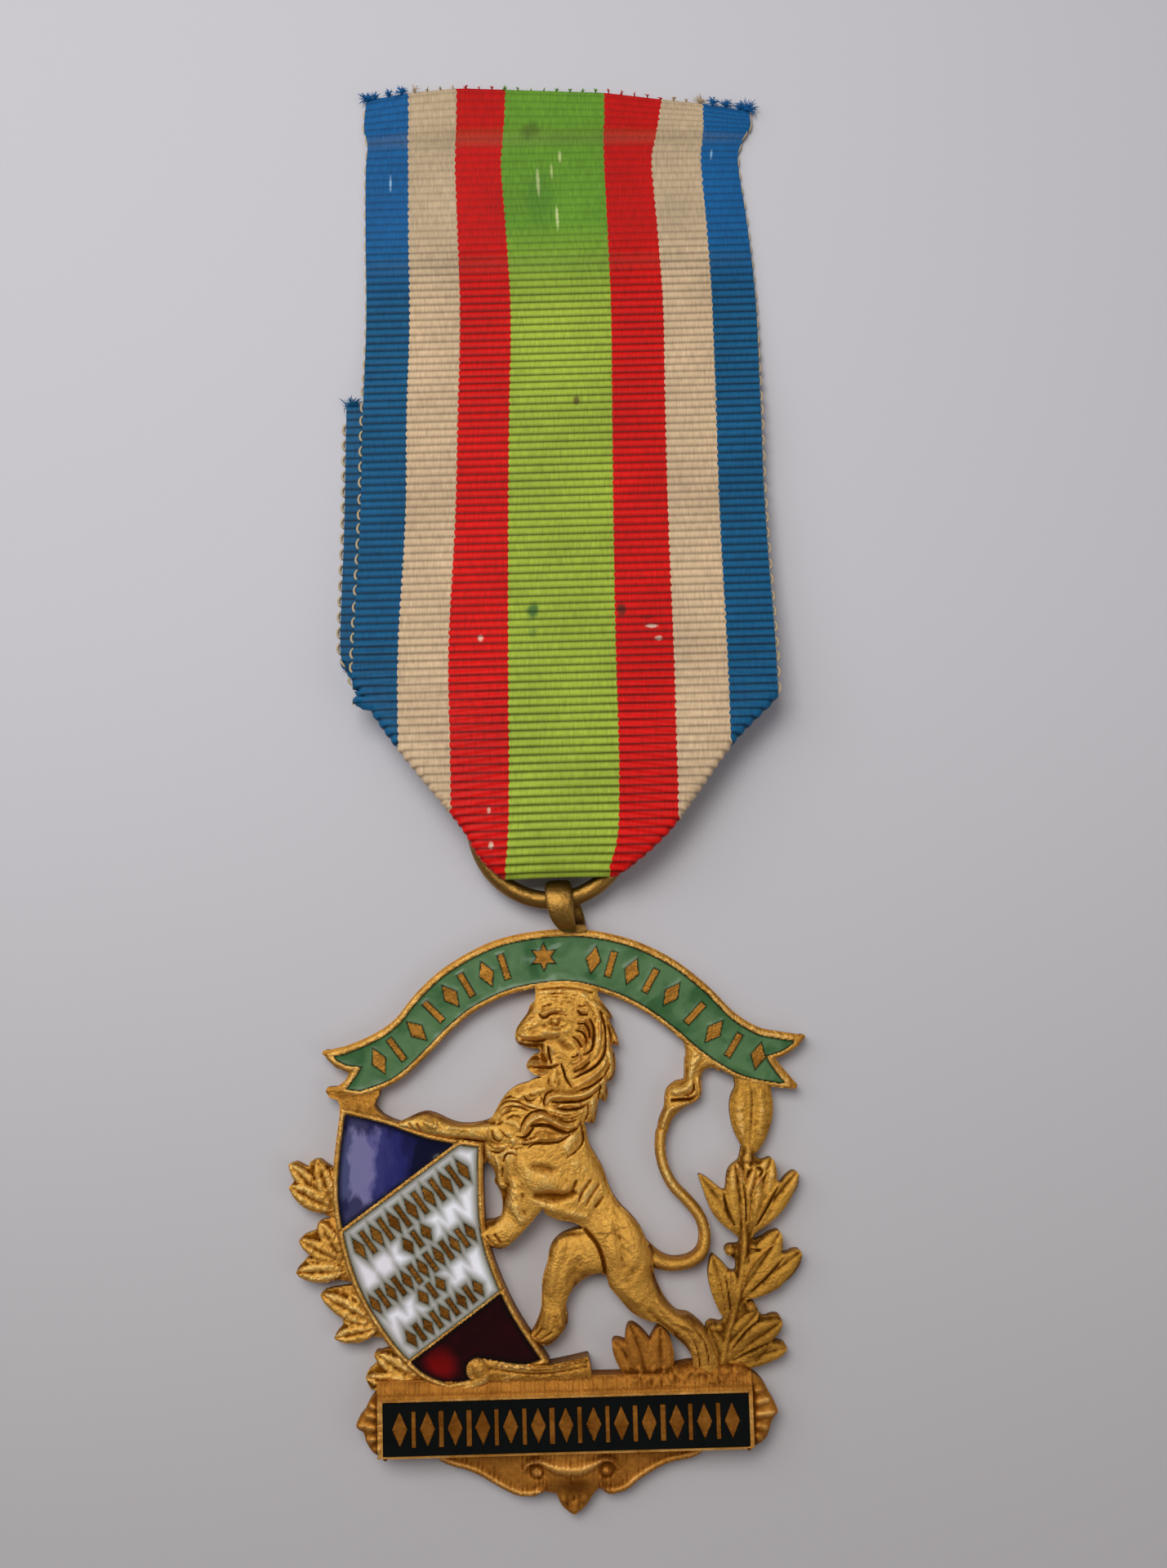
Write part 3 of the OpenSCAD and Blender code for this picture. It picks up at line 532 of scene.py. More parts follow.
# The enamel ends at the inner side of these two areas
FORK_RIMS = forms("""
-20 -11.9, -20.05 -10.95, -19.1 -10.25, -18.45 -9.4, -18.05 -8.72, -19.3 -8.55, -20.2 -8.1, -20.7 -7.55,
-20.55 -6.6, -23 -6.6, -23 -11.9;
20.05 -6.4, 20 -7.45, 19.85 -7.8, 19.4 -8.15, 18.8 -8.45, 18.2 -8.65, 17.2 -8.7, 17.4 -9.3, 18.05 -10.3,
18.95 -11.35, 18.9 -12.2, 23 -12.2, 23 -6.4""")
SCROLL_FIELD = (-22.2, 21.4, -12.2, 3.6)
SCROLL_RIM = 0.45
SCROLL_HEIGHT = 1.7
ENAMEL_DEEP = 0.75
# how much of a form may lie under the scroll's edge
UNDER_SCROLL = 0.2


def directions(s):
    """Unit vectors along a curve at its rows."""
    step = np.vstack([s[1:2] - s[:1], s[2:] - s[:-2], s[-1:] - s[-2:-1]])[:, :2]
    return step / np.linalg.norm(step, axis=1)[:, None]


def scroll_outline(steps=8):
    """The band's outline: each row's point plus and minus its half width across the middle line."""
    s = curve(SCROLL_ROWS, steps)
    d = directions(s)
    across = np.column_stack([-d[:, 1], d[:, 0]])
    middle, reach = s[:, :2], across * s[:, 2:3]
    return np.vstack([middle + reach, FORK_RIGHT, (middle - reach)[::-1], FORK_LEFT[::-1]])


def ornaments(relief, places):
    """Depth inside a set of lozenges and billets. Each is x, y, turn in degrees, width, height and
    whether it is a billet, a small upright bar."""
    depth = np.full(relief.X.shape, OUTSIDE)
    for x, y, turned, wide, high, bar in places:
        reach = max(wide, high)
        w = relief.window(x - reach, x + reach, y - reach, y + reach)
        c, s = math.cos(math.radians(turned)), math.sin(math.radians(turned))
        p = np.abs((relief.X[w] - x) * c + (relief.Y[w] - y) * s)
        q = np.abs(-(relief.X[w] - x) * s + (relief.Y[w] - y) * c)
        if bar:
            inside = np.minimum(wide / 2 - p, high / 2 - q)
        else:
            inside = (1 - p * 2 / wide - q * 2 / high) * wide * high / 2 / math.hypot(wide, high)
        depth[w] = np.maximum(depth[w], inside)
    return depth


def star_depth(relief, x, y, radius):
    """Depth inside a six-pointed star: three bands at 60 degrees give each point's straight sides."""
    angle = np.arctan2(relief.X - x, relief.Y - y)
    away = np.hypot(relief.X - x, relief.Y - y)
    folded = np.abs((angle + np.pi / 6) % (np.pi / 3) - np.pi / 6)
    # a side runs from the tip to the notch, which lies half as far out and 30 degrees further round
    notch = 0.5 * radius * np.array([math.cos(np.pi / 6), math.sin(np.pi / 6)])
    nx, ny = notch[1], radius - notch[0]
    return -((away * np.cos(folded) - radius) * nx + away * np.sin(folded) * ny) / math.hypot(nx, ny)


scroll_curve = curve(SCROLL_ROWS, 8)
scroll_way = directions(scroll_curve)
scroll_places = []
ornament_x = [-5.7 + k * 1.56 for k in range(-7, 1)] + [1.9 + k * 1.791 for k in range(9)]
BILLET, LOZENGE = (0.6, 2.3, True), (1.35, 2.5, False)
for number, x in enumerate(ornament_x):
    near = int(np.argmax(scroll_curve[:, 0] >= x))
    turned = math.degrees(math.atan2(scroll_way[near, 1], scroll_way[near, 0]))
    scroll_places.append((*scroll_curve[near, :2], turned, *(BILLET if number % 2 else LOZENGE)))
print("ornaments on the scroll", len(scroll_places) + 1)


# %% Scroll frame


def trough(relief, outline, rim, height, raised, inner=None):
    """Rim, floor and raised ornaments of an enamelled plate. Walls are slopes 0.1 mm wide, and the rim's
    top is a low arch: height - 0.05 + 0.09 sqrt(1 - v^2), v running from -1 to 1 across the rim."""
    inner = outline if inner is None else inner
    v = np.clip((rim - inner) / rim * 2 - 1, -1, 1)
    crown = height - 0.05 + 0.09 * np.sqrt(1 - v * v)
    wall = smoothstep(inner - rim, -0.03, 0.07)
    z = crown * (1 - wall) + (height - ENAMEL_DEEP) * wall
    rise = smoothstep(raised, -0.07, 0.02)
    relief.top = z + (height + 0.02 - z) * rise * (outline > rim * 0.5)
    relief.depth = outline


scroll = Relief(*SCROLL_FIELD)
scroll_edge = scroll.inside(scroll_outline())
# the upper rim is wider than the lower, and the swallow tails have the widest rims and blunt tips
upper_shift = scroll.inside(scroll_outline() - [0, 0.22]) - scroll_edge
tails = SCROLL_RIM - np.maximum(scroll.inside(FORK_RIMS[0]), scroll.inside(FORK_RIMS[1]))
scroll_inner = np.minimum(np.minimum(scroll_edge, scroll_edge + upper_shift), tails)
FORK_TIPS = measures("-21.2 -7.45 .27, -20.95 -10.75 .27, 20.5 -7.2 .22, 19.6 -11.4 .26")
for tip_x, tip_y, radius in FORK_TIPS:
    scroll_edge = np.maximum(scroll_edge, radius - np.hypot(scroll.X - tip_x, scroll.Y - tip_y))
scroll_marks = np.maximum(ornaments(scroll, scroll_places), star_depth(scroll, -1.95, 0.35, 1.25))
trough(scroll, scroll_edge, SCROLL_RIM, SCROLL_HEIGHT, scroll_marks, scroll_inner)
scroll.grain(0.028, 0.25, 1.4, seed=3)
scroll_frame = scroll.mesh("scroll_frame", 0.0, stain_and_shade=np.where(scroll_marks > -0.05, 0.03, OUTSIDE))
dress(scroll_frame, gilt_rim, "badge_body")

# %% [markdown]
# ### Vitreous enamel
# Enamel is coloured glass, fused into its cell and polished. It creeps up the walls, so its
# surface is a little dished between rim and ornaments, and it is never quite flat: these slow
# waves make the soft streaks of light. Near the metal its colour is darker. The mesh holds
# the waves, and "edge_mm" tells the shader how far the nearest metal is.

# %% Enamel


# clouds push the borders of a banded enamel about by this much, in metres, to either side
WOBBLE = 0.0021
# y half way between the bands' two ends, in drawing mm
BANDS_MIDDLE = -17.1


def enamel(name, main, streak, rim, edge_width, rough, second=None, painted_glow=None, tone_and_sheen_bands=None):
    """Glossy enamel: main colour with streaks, a rim colour within edge_width mm of the metal, and pin
    holes. second = (colour, from, to) washes it by the distance to the metal in mm; painted_glow = (colour,
    middle, near, far) paints a patch of light round a place. tone_and_sheen_bands = (x in mm and colour,
    ...) lays clouded colours side by side, which for the blue hold a painted sheen and painted shade, and
    darkens both their ends."""
    material, tree, shader = start_material(name)
    where = node(tree, "TexCoord").outputs["Object"]
    edge = node(tree, "Attribute", {"attribute_name": "edge_mm"}).outputs["Fac"]
    cloud = node(tree, "TexNoise", Vector=where, Scale=320.0, Detail=4.0, Roughness=0.55, Distortion=0.8)
    base = node(tree, "ValToRGB", SOFT_RAMP, ((0.3, main), (0.62, streak)), in0=cloud)
    # colours side by side across the field: for the blue, its own tones with a painted sheen of reflected
    # light and painted shade at the edge
    if tone_and_sheen_bands:
        # the clouds are stretched upwards
        stretched = node(tree, "Mapping", Vector=where, Scale=(1, 0.45, 1))
        cloudy = node(tree, "TexNoise", Vector=stretched, Scale=700.0, Detail=4.0, Roughness=0.6)
        cloudy = cloudy.outputs["Color"]
        shifted = node(tree, "VectorMath", "MULTIPLY_ADD", in0=cloudy, in1=[2 * WOBBLE] * 3, in2=where)
        axes = node(tree, "SeparateXYZ", Vector=shifted).outputs
        first, last = tone_and_sheen_bands[0][0], tone_and_sheen_bands[-1][0]
        left, right = (place([end, 0, 0])[0] + WOBBLE for end in (first, last))
        across = node(tree, "MapRange", Value=axes["X"], From_Min=left, From_Max=right)
        stops = [((x - first) / (last - first), hue) for x, hue in tone_and_sheen_bands]
        base = node(tree, "ValToRGB", SOFT_RAMP, stops, in0=across)
        off = node(tree, "Math", "SUBTRACT", in0=axes["Y"], in1=place([0, BANDS_MIDDLE, 0])[1] + WOBBLE)
        off = node(tree, "Math", "ABSOLUTE", in0=off)
        end = node(tree, "MapRange", SMOOTH, Value=off, From_Min=0.0023, From_Max=0.0033, To_Max=0.8)
        base = node(tree, "Mix", COLOURS, Factor=end, in6=base, in7=colour(main)).outputs[2]
    if second:
        hue, low, high = second
        halo = node(tree, "MapRange", Value=edge, From_Min=low, From_Max=high, To_Min=0.85, To_Max=0.0)
        base = node(tree, "Mix", COLOURS, Factor=halo, in6=base, in7=colour(hue)).outputs[2]
    # painted light: a patch round a place is painted brighter
    if painted_glow:
        hue, middle, near_mm, far_mm = painted_glow
        middle = list(place([*middle, 2.1]))
        away = node(tree, "VectorMath", "DISTANCE", in0=where, in1=middle).outputs["Value"]
        lit = node(tree, "MapRange", SMOOTH, Value=away, From_Min=near_mm * MM, From_Max=far_mm * MM,
                   To_Min=1.0, To_Max=0.0)
        patchy = node(tree, "Math", "MULTIPLY", in0=lit, in1=cloud)
        stronger = node(tree, "Math", {"operation": "MULTIPLY", "use_clamp": True}, in0=patchy, in1=1.9)
        base = node(tree, "Mix", COLOURS, Factor=stronger, in6=base, in7=colour(hue)).outputs[2]
    near = node(tree, "MapRange", Value=edge, From_Min=0.02, From_Max=edge_width, To_Min=1.0, To_Max=0.0)
    result = node(tree, "Mix", COLOURS, Factor=near, in6=base, in7=colour(rim)).outputs[2]
    pits = node(tree, "TexVoronoi", Vector=where, Scale=900.0)
    holes = node(tree, "MapRange", Value=pits, From_Min=0.05, From_Max=0.12)
    bump = node(tree, "Bump", Strength=0.25, Distance=0.00002, Height=holes)
    join(tree, shader, Base_Color=result, Roughness=rough, IOR=1.5, Specular_IOR_Level=0.22, Normal=bump)
    return material


def pool(relief, name, cell, level, dip, wave, seed, base, material, cad_node):
    """A pool of enamel: level at the walls, sinking by dip (1 - exp(-depth / 0.35)), with slow waves."""
    relief.depth = cell
    relief.top = level - dip * (1 - np.exp(-np.clip(cell, 0, None) / 0.35))
    relief.grain(wave, 1.2, 4.0, seed=seed, waves=30)
    return dress(relief.mesh(name, base, worn=0.0, sharp=60), material, cad_node)


green_enamel = enamel("green_vitreous_enamel", "#345C34", "#56794F", "#10190C", 0.16, 0.2)
scroll_cell = np.minimum(scroll_inner - SCROLL_RIM, -scroll_marks) + 0.03
pool(Relief(*SCROLL_FIELD), "scroll_green_enamel", scroll_cell, SCROLL_HEIGHT - 0.03, 0.06, 0.02, 11, 1.0,
     green_enamel, "scroll_enamel")

# %% [markdown]
# ## The shield
# The rim is a raised bead. Three cells lie between it and two slanting fillets: blue, white and
# red. The white field carries five rows of small lozenges and billets that follow its slant. The
# foot of the shield is overlapped by the curled end of a small ledge.

# %% Shield tables
SHIELD_TOP = measures("""
-19.85 -12.1, -16 -13.15, -12 -14.6, -7.55 -15.45""")
SHIELD_RIGHT = measures("""
-7.55 -15.45, -7.65 -19.5, -7.3 -24, -5.3 -29.3, -2.3 -34""")
SHIELD_FOOT = measures("""
-2.3 -34, -5.5 -34.9, -8.2 -35.5, -10.9 -36""")
SHIELD_LEFT = measures("""
-10.9 -36, -13.6 -34.7, -16.7 -31.2, -19.3 -26.2, -20.6 -19.5, -19.85 -12.1""")
LINE_UPPER = [[-20.6, -23.1], [-8.5, -14.58]]
LINE_LOWER = [[-15.4, -34.4], [-5.8, -27.6]]
WHITE_ROWS = measures("""
# middle x, y, number, spacing, height
-13.85 -20.9 13 .92 2.35, -13.4 -23.4 3 .96 1.75, -12.95 -25.85 13 .84 2, -12.2 -27.75 3 .92 1.6,
-11.15 -29.65 9 .88 1.8""")
SHIELD_RIM = 0.5
SHIELD_HEIGHT = 2.3
CURL = [-8.5, -34.4]
slant = math.atan2(LINE_UPPER[1][1] - LINE_UPPER[0][1], LINE_UPPER[1][0] - LINE_UPPER[0][0])


def shield_outline():
    """Four smooth sides that meet in corners."""
    return np.vstack([curve(side, 8)[:-1] for side in (SHIELD_TOP, SHIELD_RIGHT, SHIELD_FOOT, SHIELD_LEFT)])


def above_line(relief, line):
    """Signed distance to a slanting line, positive on its upper left side."""
    return -(relief.X - line[0][0]) * math.sin(slant) + (relief.Y - line[0][1]) * math.cos(slant)


white_places = []
for x, y, number, spacing, size in WHITE_ROWS:
    for k in range(int(number)):
        shift = (k - (number - 1) / 2) * spacing
        shape = (0.48, size - 0.15, True) if k % 2 else (spacing, size, False)
        white_places.append((x + shift * math.cos(slant), y + shift * math.sin(slant),
                             math.degrees(slant), *shape))
print("ornaments on the white field", len(white_places))

# %% Shield frame
SHIELD_FIELD = (-21.4, 2.2, -36.9, -10.35)
LEDGE = measures("""
-8.5 -33.45, -7 -33.75, -5 -34.1, -2.3 -34.2, -.6 -33.9, 1 -33.6, 1.2 -34.6, 1.35 -36.2, -9.6 -36.2,
-8.9 -35.2""")
# the small block that joins the shield's top left corner to the scroll
LINK_BLOCK = measures("""
-21.1 -10.4, -21.15 -10.85, -20.9 -11.3, -20.2 -11.5, -19.95 -11.9, -19.9 -12.9, -15.2 -13.5, -16.3 -12.9,
-16.7 -12.5, -17 -12.1, -16.85 -11.6, -16.6 -11.2, -16.5 -10.4""")
CURL_END = measures("""
-8.35 -34.2 .72 2.72, -8 -35 .62 2.66, -8.8 -35.65 .4 2.6, -9.8 -35.95 .24 2.5, -10.6 -36.1 .12 2.4""")
LEDGE_LINES = forms("""
-7.4 -34.3 .12 -.1, -5 -34.75 .12 -.12, -2.3 -34.85 .12 -.12, .8 -34.4 .12 -.1;
-7.3 -33.95 .14 .1, -5 -34.3 .14 .12, -2.3 -34.4 .14 .12, .9 -33.8 .14 .12;
.8 -33.8 .1 -.12, .8 -35.9 .1 -.12""")
shield = Relief(*SHIELD_FIELD)
shield_edge = shield.inside(shield_outline())
upper, lower = above_line(shield, LINE_UPPER), above_line(shield, LINE_LOWER)
ledge_edge = shield.inside(LEDGE)
curl_edge = 0.95 - np.hypot(shield.X - CURL[0], shield.Y - CURL[1])
fillets = 0.18 - np.minimum(np.abs(upper), np.abs(lower) + 0.04)
white_marks = ornaments(shield, white_places)
raised = np.maximum(np.maximum(white_marks, fillets), np.maximum(curl_edge, ledge_edge + 0.1))
trough(shield, shield_edge, SHIELD_RIM, SHIELD_HEIGHT, raised)
bead = 0.16 * np.sqrt(1 - np.clip(shield_edge / SHIELD_RIM * 2 - 1, -1, 1) ** 2)
shield.top += np.where(shield_edge < SHIELD_RIM, bead, 0) * (raised < 0)
block = np.minimum(shield.inside(LINK_BLOCK), UNDER_SCROLL - shield.inside(scroll_outline()))
climb = np.clip((-11.15 - shield.Y) / (0.85 + 0.27 * np.clip(shield.X + 19.85, 0, 4)), 0, 1)
shield.merge(block, 1.62 + 0.62 * climb, 0.05)
ledge_z = 2.2 + 0.3 * np.sin(np.clip((shield.Y + 36.2) / 2.6, 0, 1) ** 1.4 * np.pi)
shield.merge(ledge_edge, np.where(ledge_edge > 0, ledge_z, 0), 0.05)
shield.merge(curl_edge, 2.45 + 0.2 * np.clip(curl_edge, 0, 1), 0.05)
shield.form(CURL_END, edge=2.4, blend=0.03)
for rows in LEDGE_LINES:
    shield.swell(rows)
shield.grain(0.026, 0.25, 1.4, seed=5)
shield_frame = shield.mesh("shield_frame", 0.02, stain_and_shade=np.where(white_marks > -0.05, 0.09, OUTSIDE))
dress(shield_frame, gilt_rim, "badge_body")

# %% Shield enamels
# the cobalt's tones from left to right, with a lavender sheen of reflected light painted on the left and
# painted shade at the left edge
BLUE_TONE_AND_SHEEN_BANDS = ((-19.4, "#484B72"), (-18.7, "#73729A"), (-17.8, "#75709C"), (-17.2, "#5A588C"),
              (-16.6, "#35376E"), (-15.0, "#242662"), (-14.0, "#1A1A4C"), (-13.2, "#0B0E2C"),
              (-11.0, "#0A0C28"))
blue_enamel = enamel("cobalt_blue_vitreous_enamel", "#13133C", "#191560", "#05061C", 0.45, 0.14,
                     tone_and_sheen_bands=BLUE_TONE_AND_SHEEN_BANDS)
white_enamel = enamel("milky_white_vitreous_enamel", "#F2F5FC", "#E6E2EA", "#2E3A30", 0.12, 0.16,
                      second=("#6C694E", 0.14, 0.8))
# the red is painted brighter round a place at its lower left, a painted patch of light
red_enamel = enamel("ruby_translucent_vitreous_enamel", "#1C0001", "#260002", "#080101", 0.5, 0.12,
                    painted_glow=("#700203", (-11.6, -33.9), 0.4, 1.9))
cell = np.minimum(shield_edge - SHIELD_RIM, np.minimum(-curl_edge - 0.02, -ledge_edge - 0.12)) + 0.03
white_cell = np.minimum(np.minimum(cell, -upper - 0.15), np.minimum(lower - 0.11, -white_marks + 0.03))
# tincture, its cell and enamel, and the surface's dip and waves
for tint, field, material, dip, wave, seed in (
        ("blue", np.minimum(cell, upper - 0.15), blue_enamel, 0.07, 0.03, 21),
        ("white", white_cell, white_enamel, 0.05, 0.015, 22),
        ("red", np.minimum(cell, -lower - 0.11), red_enamel, 0.06, 0.02, 23)):
    pool(Relief(*SHIELD_FIELD), f"shield_{tint}_enamel", field, SHIELD_HEIGHT - 0.02, dip, wave, seed, 1.6,
         material, f"shield_{tint}")

# %% [markdown]
# ## The lion
# The lion is the badge's tallest relief. It is built as a modeller would build it: first the
# large forms along their bones, then muscles and hollows, then the mane and the face. A lock is a
# bent, tapering ridge; the thin cuts beside and on it are what the die sinker's graver left.

# %% Lion forms
LION_OUTLINE = measures("""
# forehead, nose, open mouth, chin
-2.75 -2, -2.78 -3.3, -3.25 -3.8, -3.5 -4.45, -4 -5.1, -4.42 -5.7, -4.58 -6.2, -4.57 -6.75, -4.35 -7.15,
-3.7 -7.42, -3 -7.55, -2.5 -7.62, -2.52 -7.95, -3 -8.1, -3.35 -8.4, -3.65 -8.8, -3.68 -9.15, -3.35 -9.5,
-2.9 -9.82, -2.5 -9.92, -2.35 -10.03,
# front of the mane, upper foreleg
-3.1 -10.2, -3.6 -10.45, -4.4 -10.65, -5.3 -11.2, -6 -12, -6.5 -12.9, -7 -13.55, -8.3 -13.85,
-9.5 -13.85, -10.5 -13.55, -11.3 -13.15, -12 -12.85, -12.6 -12.75, -13.3 -12.9, -14.2 -13.3, -15 -13.65,
-14.8 -14, -14 -14.3, -12 -14.9, -10 -15.15, -8 -15.6, -7.75 -16.2, -7.75 -17,
# the gap at the shield's edge, lower foreleg
-7.55 -17.3, -7.25 -17.1, -6.95 -17.4, -6.6 -18.2, -6.7 -18.8, -6.4 -19.3, -6.1 -20, -6.05 -21.2,
-6.3 -21.9, -6.9 -22.15, -7.5 -22.2, -7.75 -22.6, -7.75 -23.5, -7.3 -24.25, -6.6 -24.5, -5.9 -24.4,
-4.6 -23.3, -3 -21.65, -2.55 -21.1,
# belly, left hind leg
-2.3 -21.6, -1.2 -22.1, 0 -22.35, .85 -22.9, .1 -23.1, -1 -23.5, -1.8 -24.2, -2.15 -25, -2.3 -25.9,
-2.75 -27.2, -2.85 -28.6, -2.95 -29.8, -3.4 -31, -3.85 -31.8, -3.8 -32.4, -2.6 -32.7, -1.9 -32.4,
-1.3 -31.8, -.75 -31, -.65 -30.5, -.8 -29.5, -.5 -28.5, .2 -27.7, 1.2 -27.05, 2.5 -26.85, 2.8 -27.1,
# right hind leg
2.95 -27.8, 3.6 -28.6, 4.3 -29.5, 5 -30.2, 6 -30.7, 7 -31, 7.8 -31.6, 8.5 -32.3, 9.2 -32.95, 9.7 -33.6,
9.95 -34.4, 9.9 -36, 12.4 -36, 12.2 -34.4, 11.8 -33.2, 11.35 -32.2, 10.9 -31.5, 10.3 -30.9, 9.6 -30.45,
8.7 -30.25, 7.9 -29.4, 7.3 -28.3, 6.95 -27.3, 6.8 -26.3, 6.9 -25.6,
# back
6.5 -24.7, 5.8 -23.1, 5 -22.05, 4 -21, 3.3 -19.8, 2.7 -18, 2 -16.7, 1.55 -15.8, 1.35 -14.6, 1.2 -13.9,
# tips of the mane down the neck
1.9 -14.15, 2.15 -13.9, 2.35 -13, 2.55 -12, 3.05 -12.3, 3.35 -11.5, 3.2 -10.7, 3.7 -10.45, 4 -9.8,
4.1 -8.9, 4 -8.2, 3.75 -7.65, 3.85 -7.4, 4.4 -7.5, 4.35 -7, 4.1 -6.2, 3.75 -5.5, 3.6 -5.2, 3.95 -5.05,
3.5 -4.3, 3 -3.6, 2.65 -2.95, 2.45 -2""")
TUFT_OUTLINE = measures("""
7.5 -15.2, 7.75 -14, 8.2 -13, 8.3 -12.2, 8.45 -11.5, 8.85 -11.05, 9.4 -10.72, 10 -10.6, 10.12 -10,
10.15 -9, 10.3 -8.3, 10.4 -7.2, 13 -8.6, 13.2 -9.95, 12.5 -9.62, 11.8 -9.85, 11.55 -10.3, 11.5 -11,
11.5 -11.7, 11.35 -12.15, 11 -12.5, 10.5 -12.75, 9.9 -13.05, 9.3 -13.5, 8.75 -14.2, 8.4 -15.1, 7.9 -15.6""")
LION_FORMS = forms("""
# head and mane, down to the chest
.05 -2.2 2.65 2.2, 0 -4.2 3.3 2.5, .5 -6 3.3 2.6, .6 -8.2 3.3 2.8, .3 -10.3 3 2.8, -1.5 -12.2 3.7 2.8,
-2.8 -14 4 2.8;
# trunk and haunch
-2.7 -13.2 4 2.8, -2.5 -16 4.3 3.1, -1 -18.9 3.85 3, .9 -20.7 2.85 2.6, 2.5 -22.2 2.2 2.6,
3.9 -24.2 2.45 2.9, 4.6 -26.2 2.3 2.9;
# muzzle
-.8 -5 2.2 2.8, -2.3 -5.55 1.55 2.75, -3.3 -6 1.12 2.6, -3.95 -6.3 .72 2.3, -4.2 -6.6 .42 2;
-1.3 -6.1 .75 2.75, -2.5 -6.2 .62 2.72, -3.4 -6.35 .5 2.6, -4 -6.5 .34 2.4;
# forehead
-1.7 -2.6 .95 2.2, -1.9 -3.7 1.15 2.4, -2 -4.6 1.1 2.5;
# lower jaw
-.8 -8.9 .95 2.3, -2 -9.15 .8 2.2, -2.9 -9.1 .68 2.1, -3.3 -9.05 .35 1.9;
# shoulder and front of the mane
-2.4 -11 .9 2.4, -4.2 -12 1.35 2.6, -5.4 -13.2 1.4 2.6, -6.3 -15 1.3 2.5, -6.5 -16.4 .95 2.4,
-6.2 -17.6 .6 2.2, -5.9 -19 .5 2.2;
# upper foreleg along the shield's top
-4.4 -14.6 1.5 2.9, -6.6 -14.6 .95 2.8, -8.8 -14.5 .66 2.75, -10.8 -14.25 .78 2.9, -12.3 -13.75 .95 3,
-13.6 -13.7 .62 2.85, -14.7 -13.75 .3 2.6;
# lower foreleg, holding the shield's edge
-2.5 -17.6 2.5 3.1, -3.6 -19.9 2.05 3, -4.7 -21.9 1.5 2.8, -5.9 -23.15 1.2 2.8, -6.9 -23.4 .9 2.7,
-7.6 -23.3 .55 2.6;
# thigh of the left hind leg
3.2 -25 1.7 2.5, 1.2 -25.1 1.75 2.5, -.3 -25.1 1.55 2.4, -.9 -25 1.2 2.3;
# shin and foot of the left hind leg
-.4 -24.9 1.45 2.3, -1.1 -26.3 1.5 2.5, -1.55 -28.2 1.25 2.4, -1.8 -29.6 1.1 2.3, -1.95 -30.6 1.15 2.4,
-2.4 -31.4 .95 2.3;
-1.7 -31 .85 2.3, -2.7 -31.7 .75 2.2, -3.7 -31.9 .45 2.1;
# right hind leg
4.4 -25.2 2.3 2.9, 4.8 -27.2 2.05 2.9, 6 -29.2 1.45 2.7, 7.6 -30.7 1.1 2.5, 9.3 -31.45 1 2.6,
10.3 -32.4 1 2.5, 10.8 -33.6 1.1 2.4, 11.1 -35.4 1.2 2.2""")
TAIL = measures("""
5.4 -24.7 .95 2.3, 6.6 -25.6 .75 2.1, 7.6 -26.1 .62 2, 8.7 -26.3 .55 1.9, 10.2 -26 .52 1.9,
11.15 -25.1 .5 1.9, 11.35 -23.6 .48 1.9, 10.9 -22.2 .48 1.9, 9.9 -20.9 .47 1.9, 8.8 -19.7 .46 1.9,
8.05 -18.2 .45 1.9, 7.75 -16.6 .44 1.9, 7.85 -15.2 .44 1.9""")
TUFT_GROOVES = forms("""
8 -14.6 .25 .2, 8.5 -13.3 .3 .25, 9.2 -12.9 .3 .25, 10.3 -12.6 .2 .2;
8.9 -12.35 .16 -.3, 9.8 -12.3 .2 -.42, 10.7 -12.25 .2 -.4, 11.15 -11.8 .16 -.25, 11.2 -11.2 .12 -.1;
10 -12 .1 -.16, 10.6 -11.8 .13 -.26, 10.85 -11.35 .12 -.24, 10.8 -10.8 .08 -.1;
9.2 -11.6 .5 .28, 10.1 -11.4 .5 .3, 10.6 -10.9 .35 .2;
10.5 -10.4 .35 .2, 10.9 -9.2 .5 .22, 11.2 -8.4 .6 .2;
11.2 -10.6 .2 .16, 11.25 -11.6 .2 .18, 10.8 -12.2 .15 .12""")
# Hair and chisel strokes: x, y, radius, number, angle, spread, length, depth
FUR = measures("""
-5 -19.6 .9 26 -60 50 .8 .05, -4.6 -21 .9 24 -50 40 .8 .05, -6.2 -23.4 .9 22 30 70 .6 .05,
-2 -17 1.4 26 20 80 .7 .04, 1 -17.6 1.2 22 -60 60 .8 .04, 2.6 -21.4 1.2 22 -50 50 .8 .04,
4.4 -23.4 1.6 40 -65 60 .9 .04, 4.8 -26.4 1.6 34 -60 60 .8 .04, 6.4 -29.2 1.4 26 -40 50 .8 .04,
9.4 -31.8 1.2 26 -50 60 .7 .05, -.9 -25 1.3 26 20 70 .8 .04, -1.9 -27.8 1 24 80 50 .7 .04,
-2 -30.8 1 24 70 70 .6 .05, -10.5 -14.2 1.6 26 5 60 .7 .05, -13 -13.6 1 20 20 90 .5 .05,
-1.2 -3.3 1.3 26 15 30 1 .06, 1.4 -3.5 1 20 -10 60 .8 .06, -2.6 -5.6 .7 16 35 40 .7 .04,
0 -5.9 .7 14 -30 60 .5 .04, 10.9 -9.2 .9 26 35 20 .8 .05, 9.6 -11.4 .8 14 10 40 .6 .05,
3.3 -6.4 .7 14 -80 20 .9 .05, -4 -11 .9 14 20 40 .8 .05""")
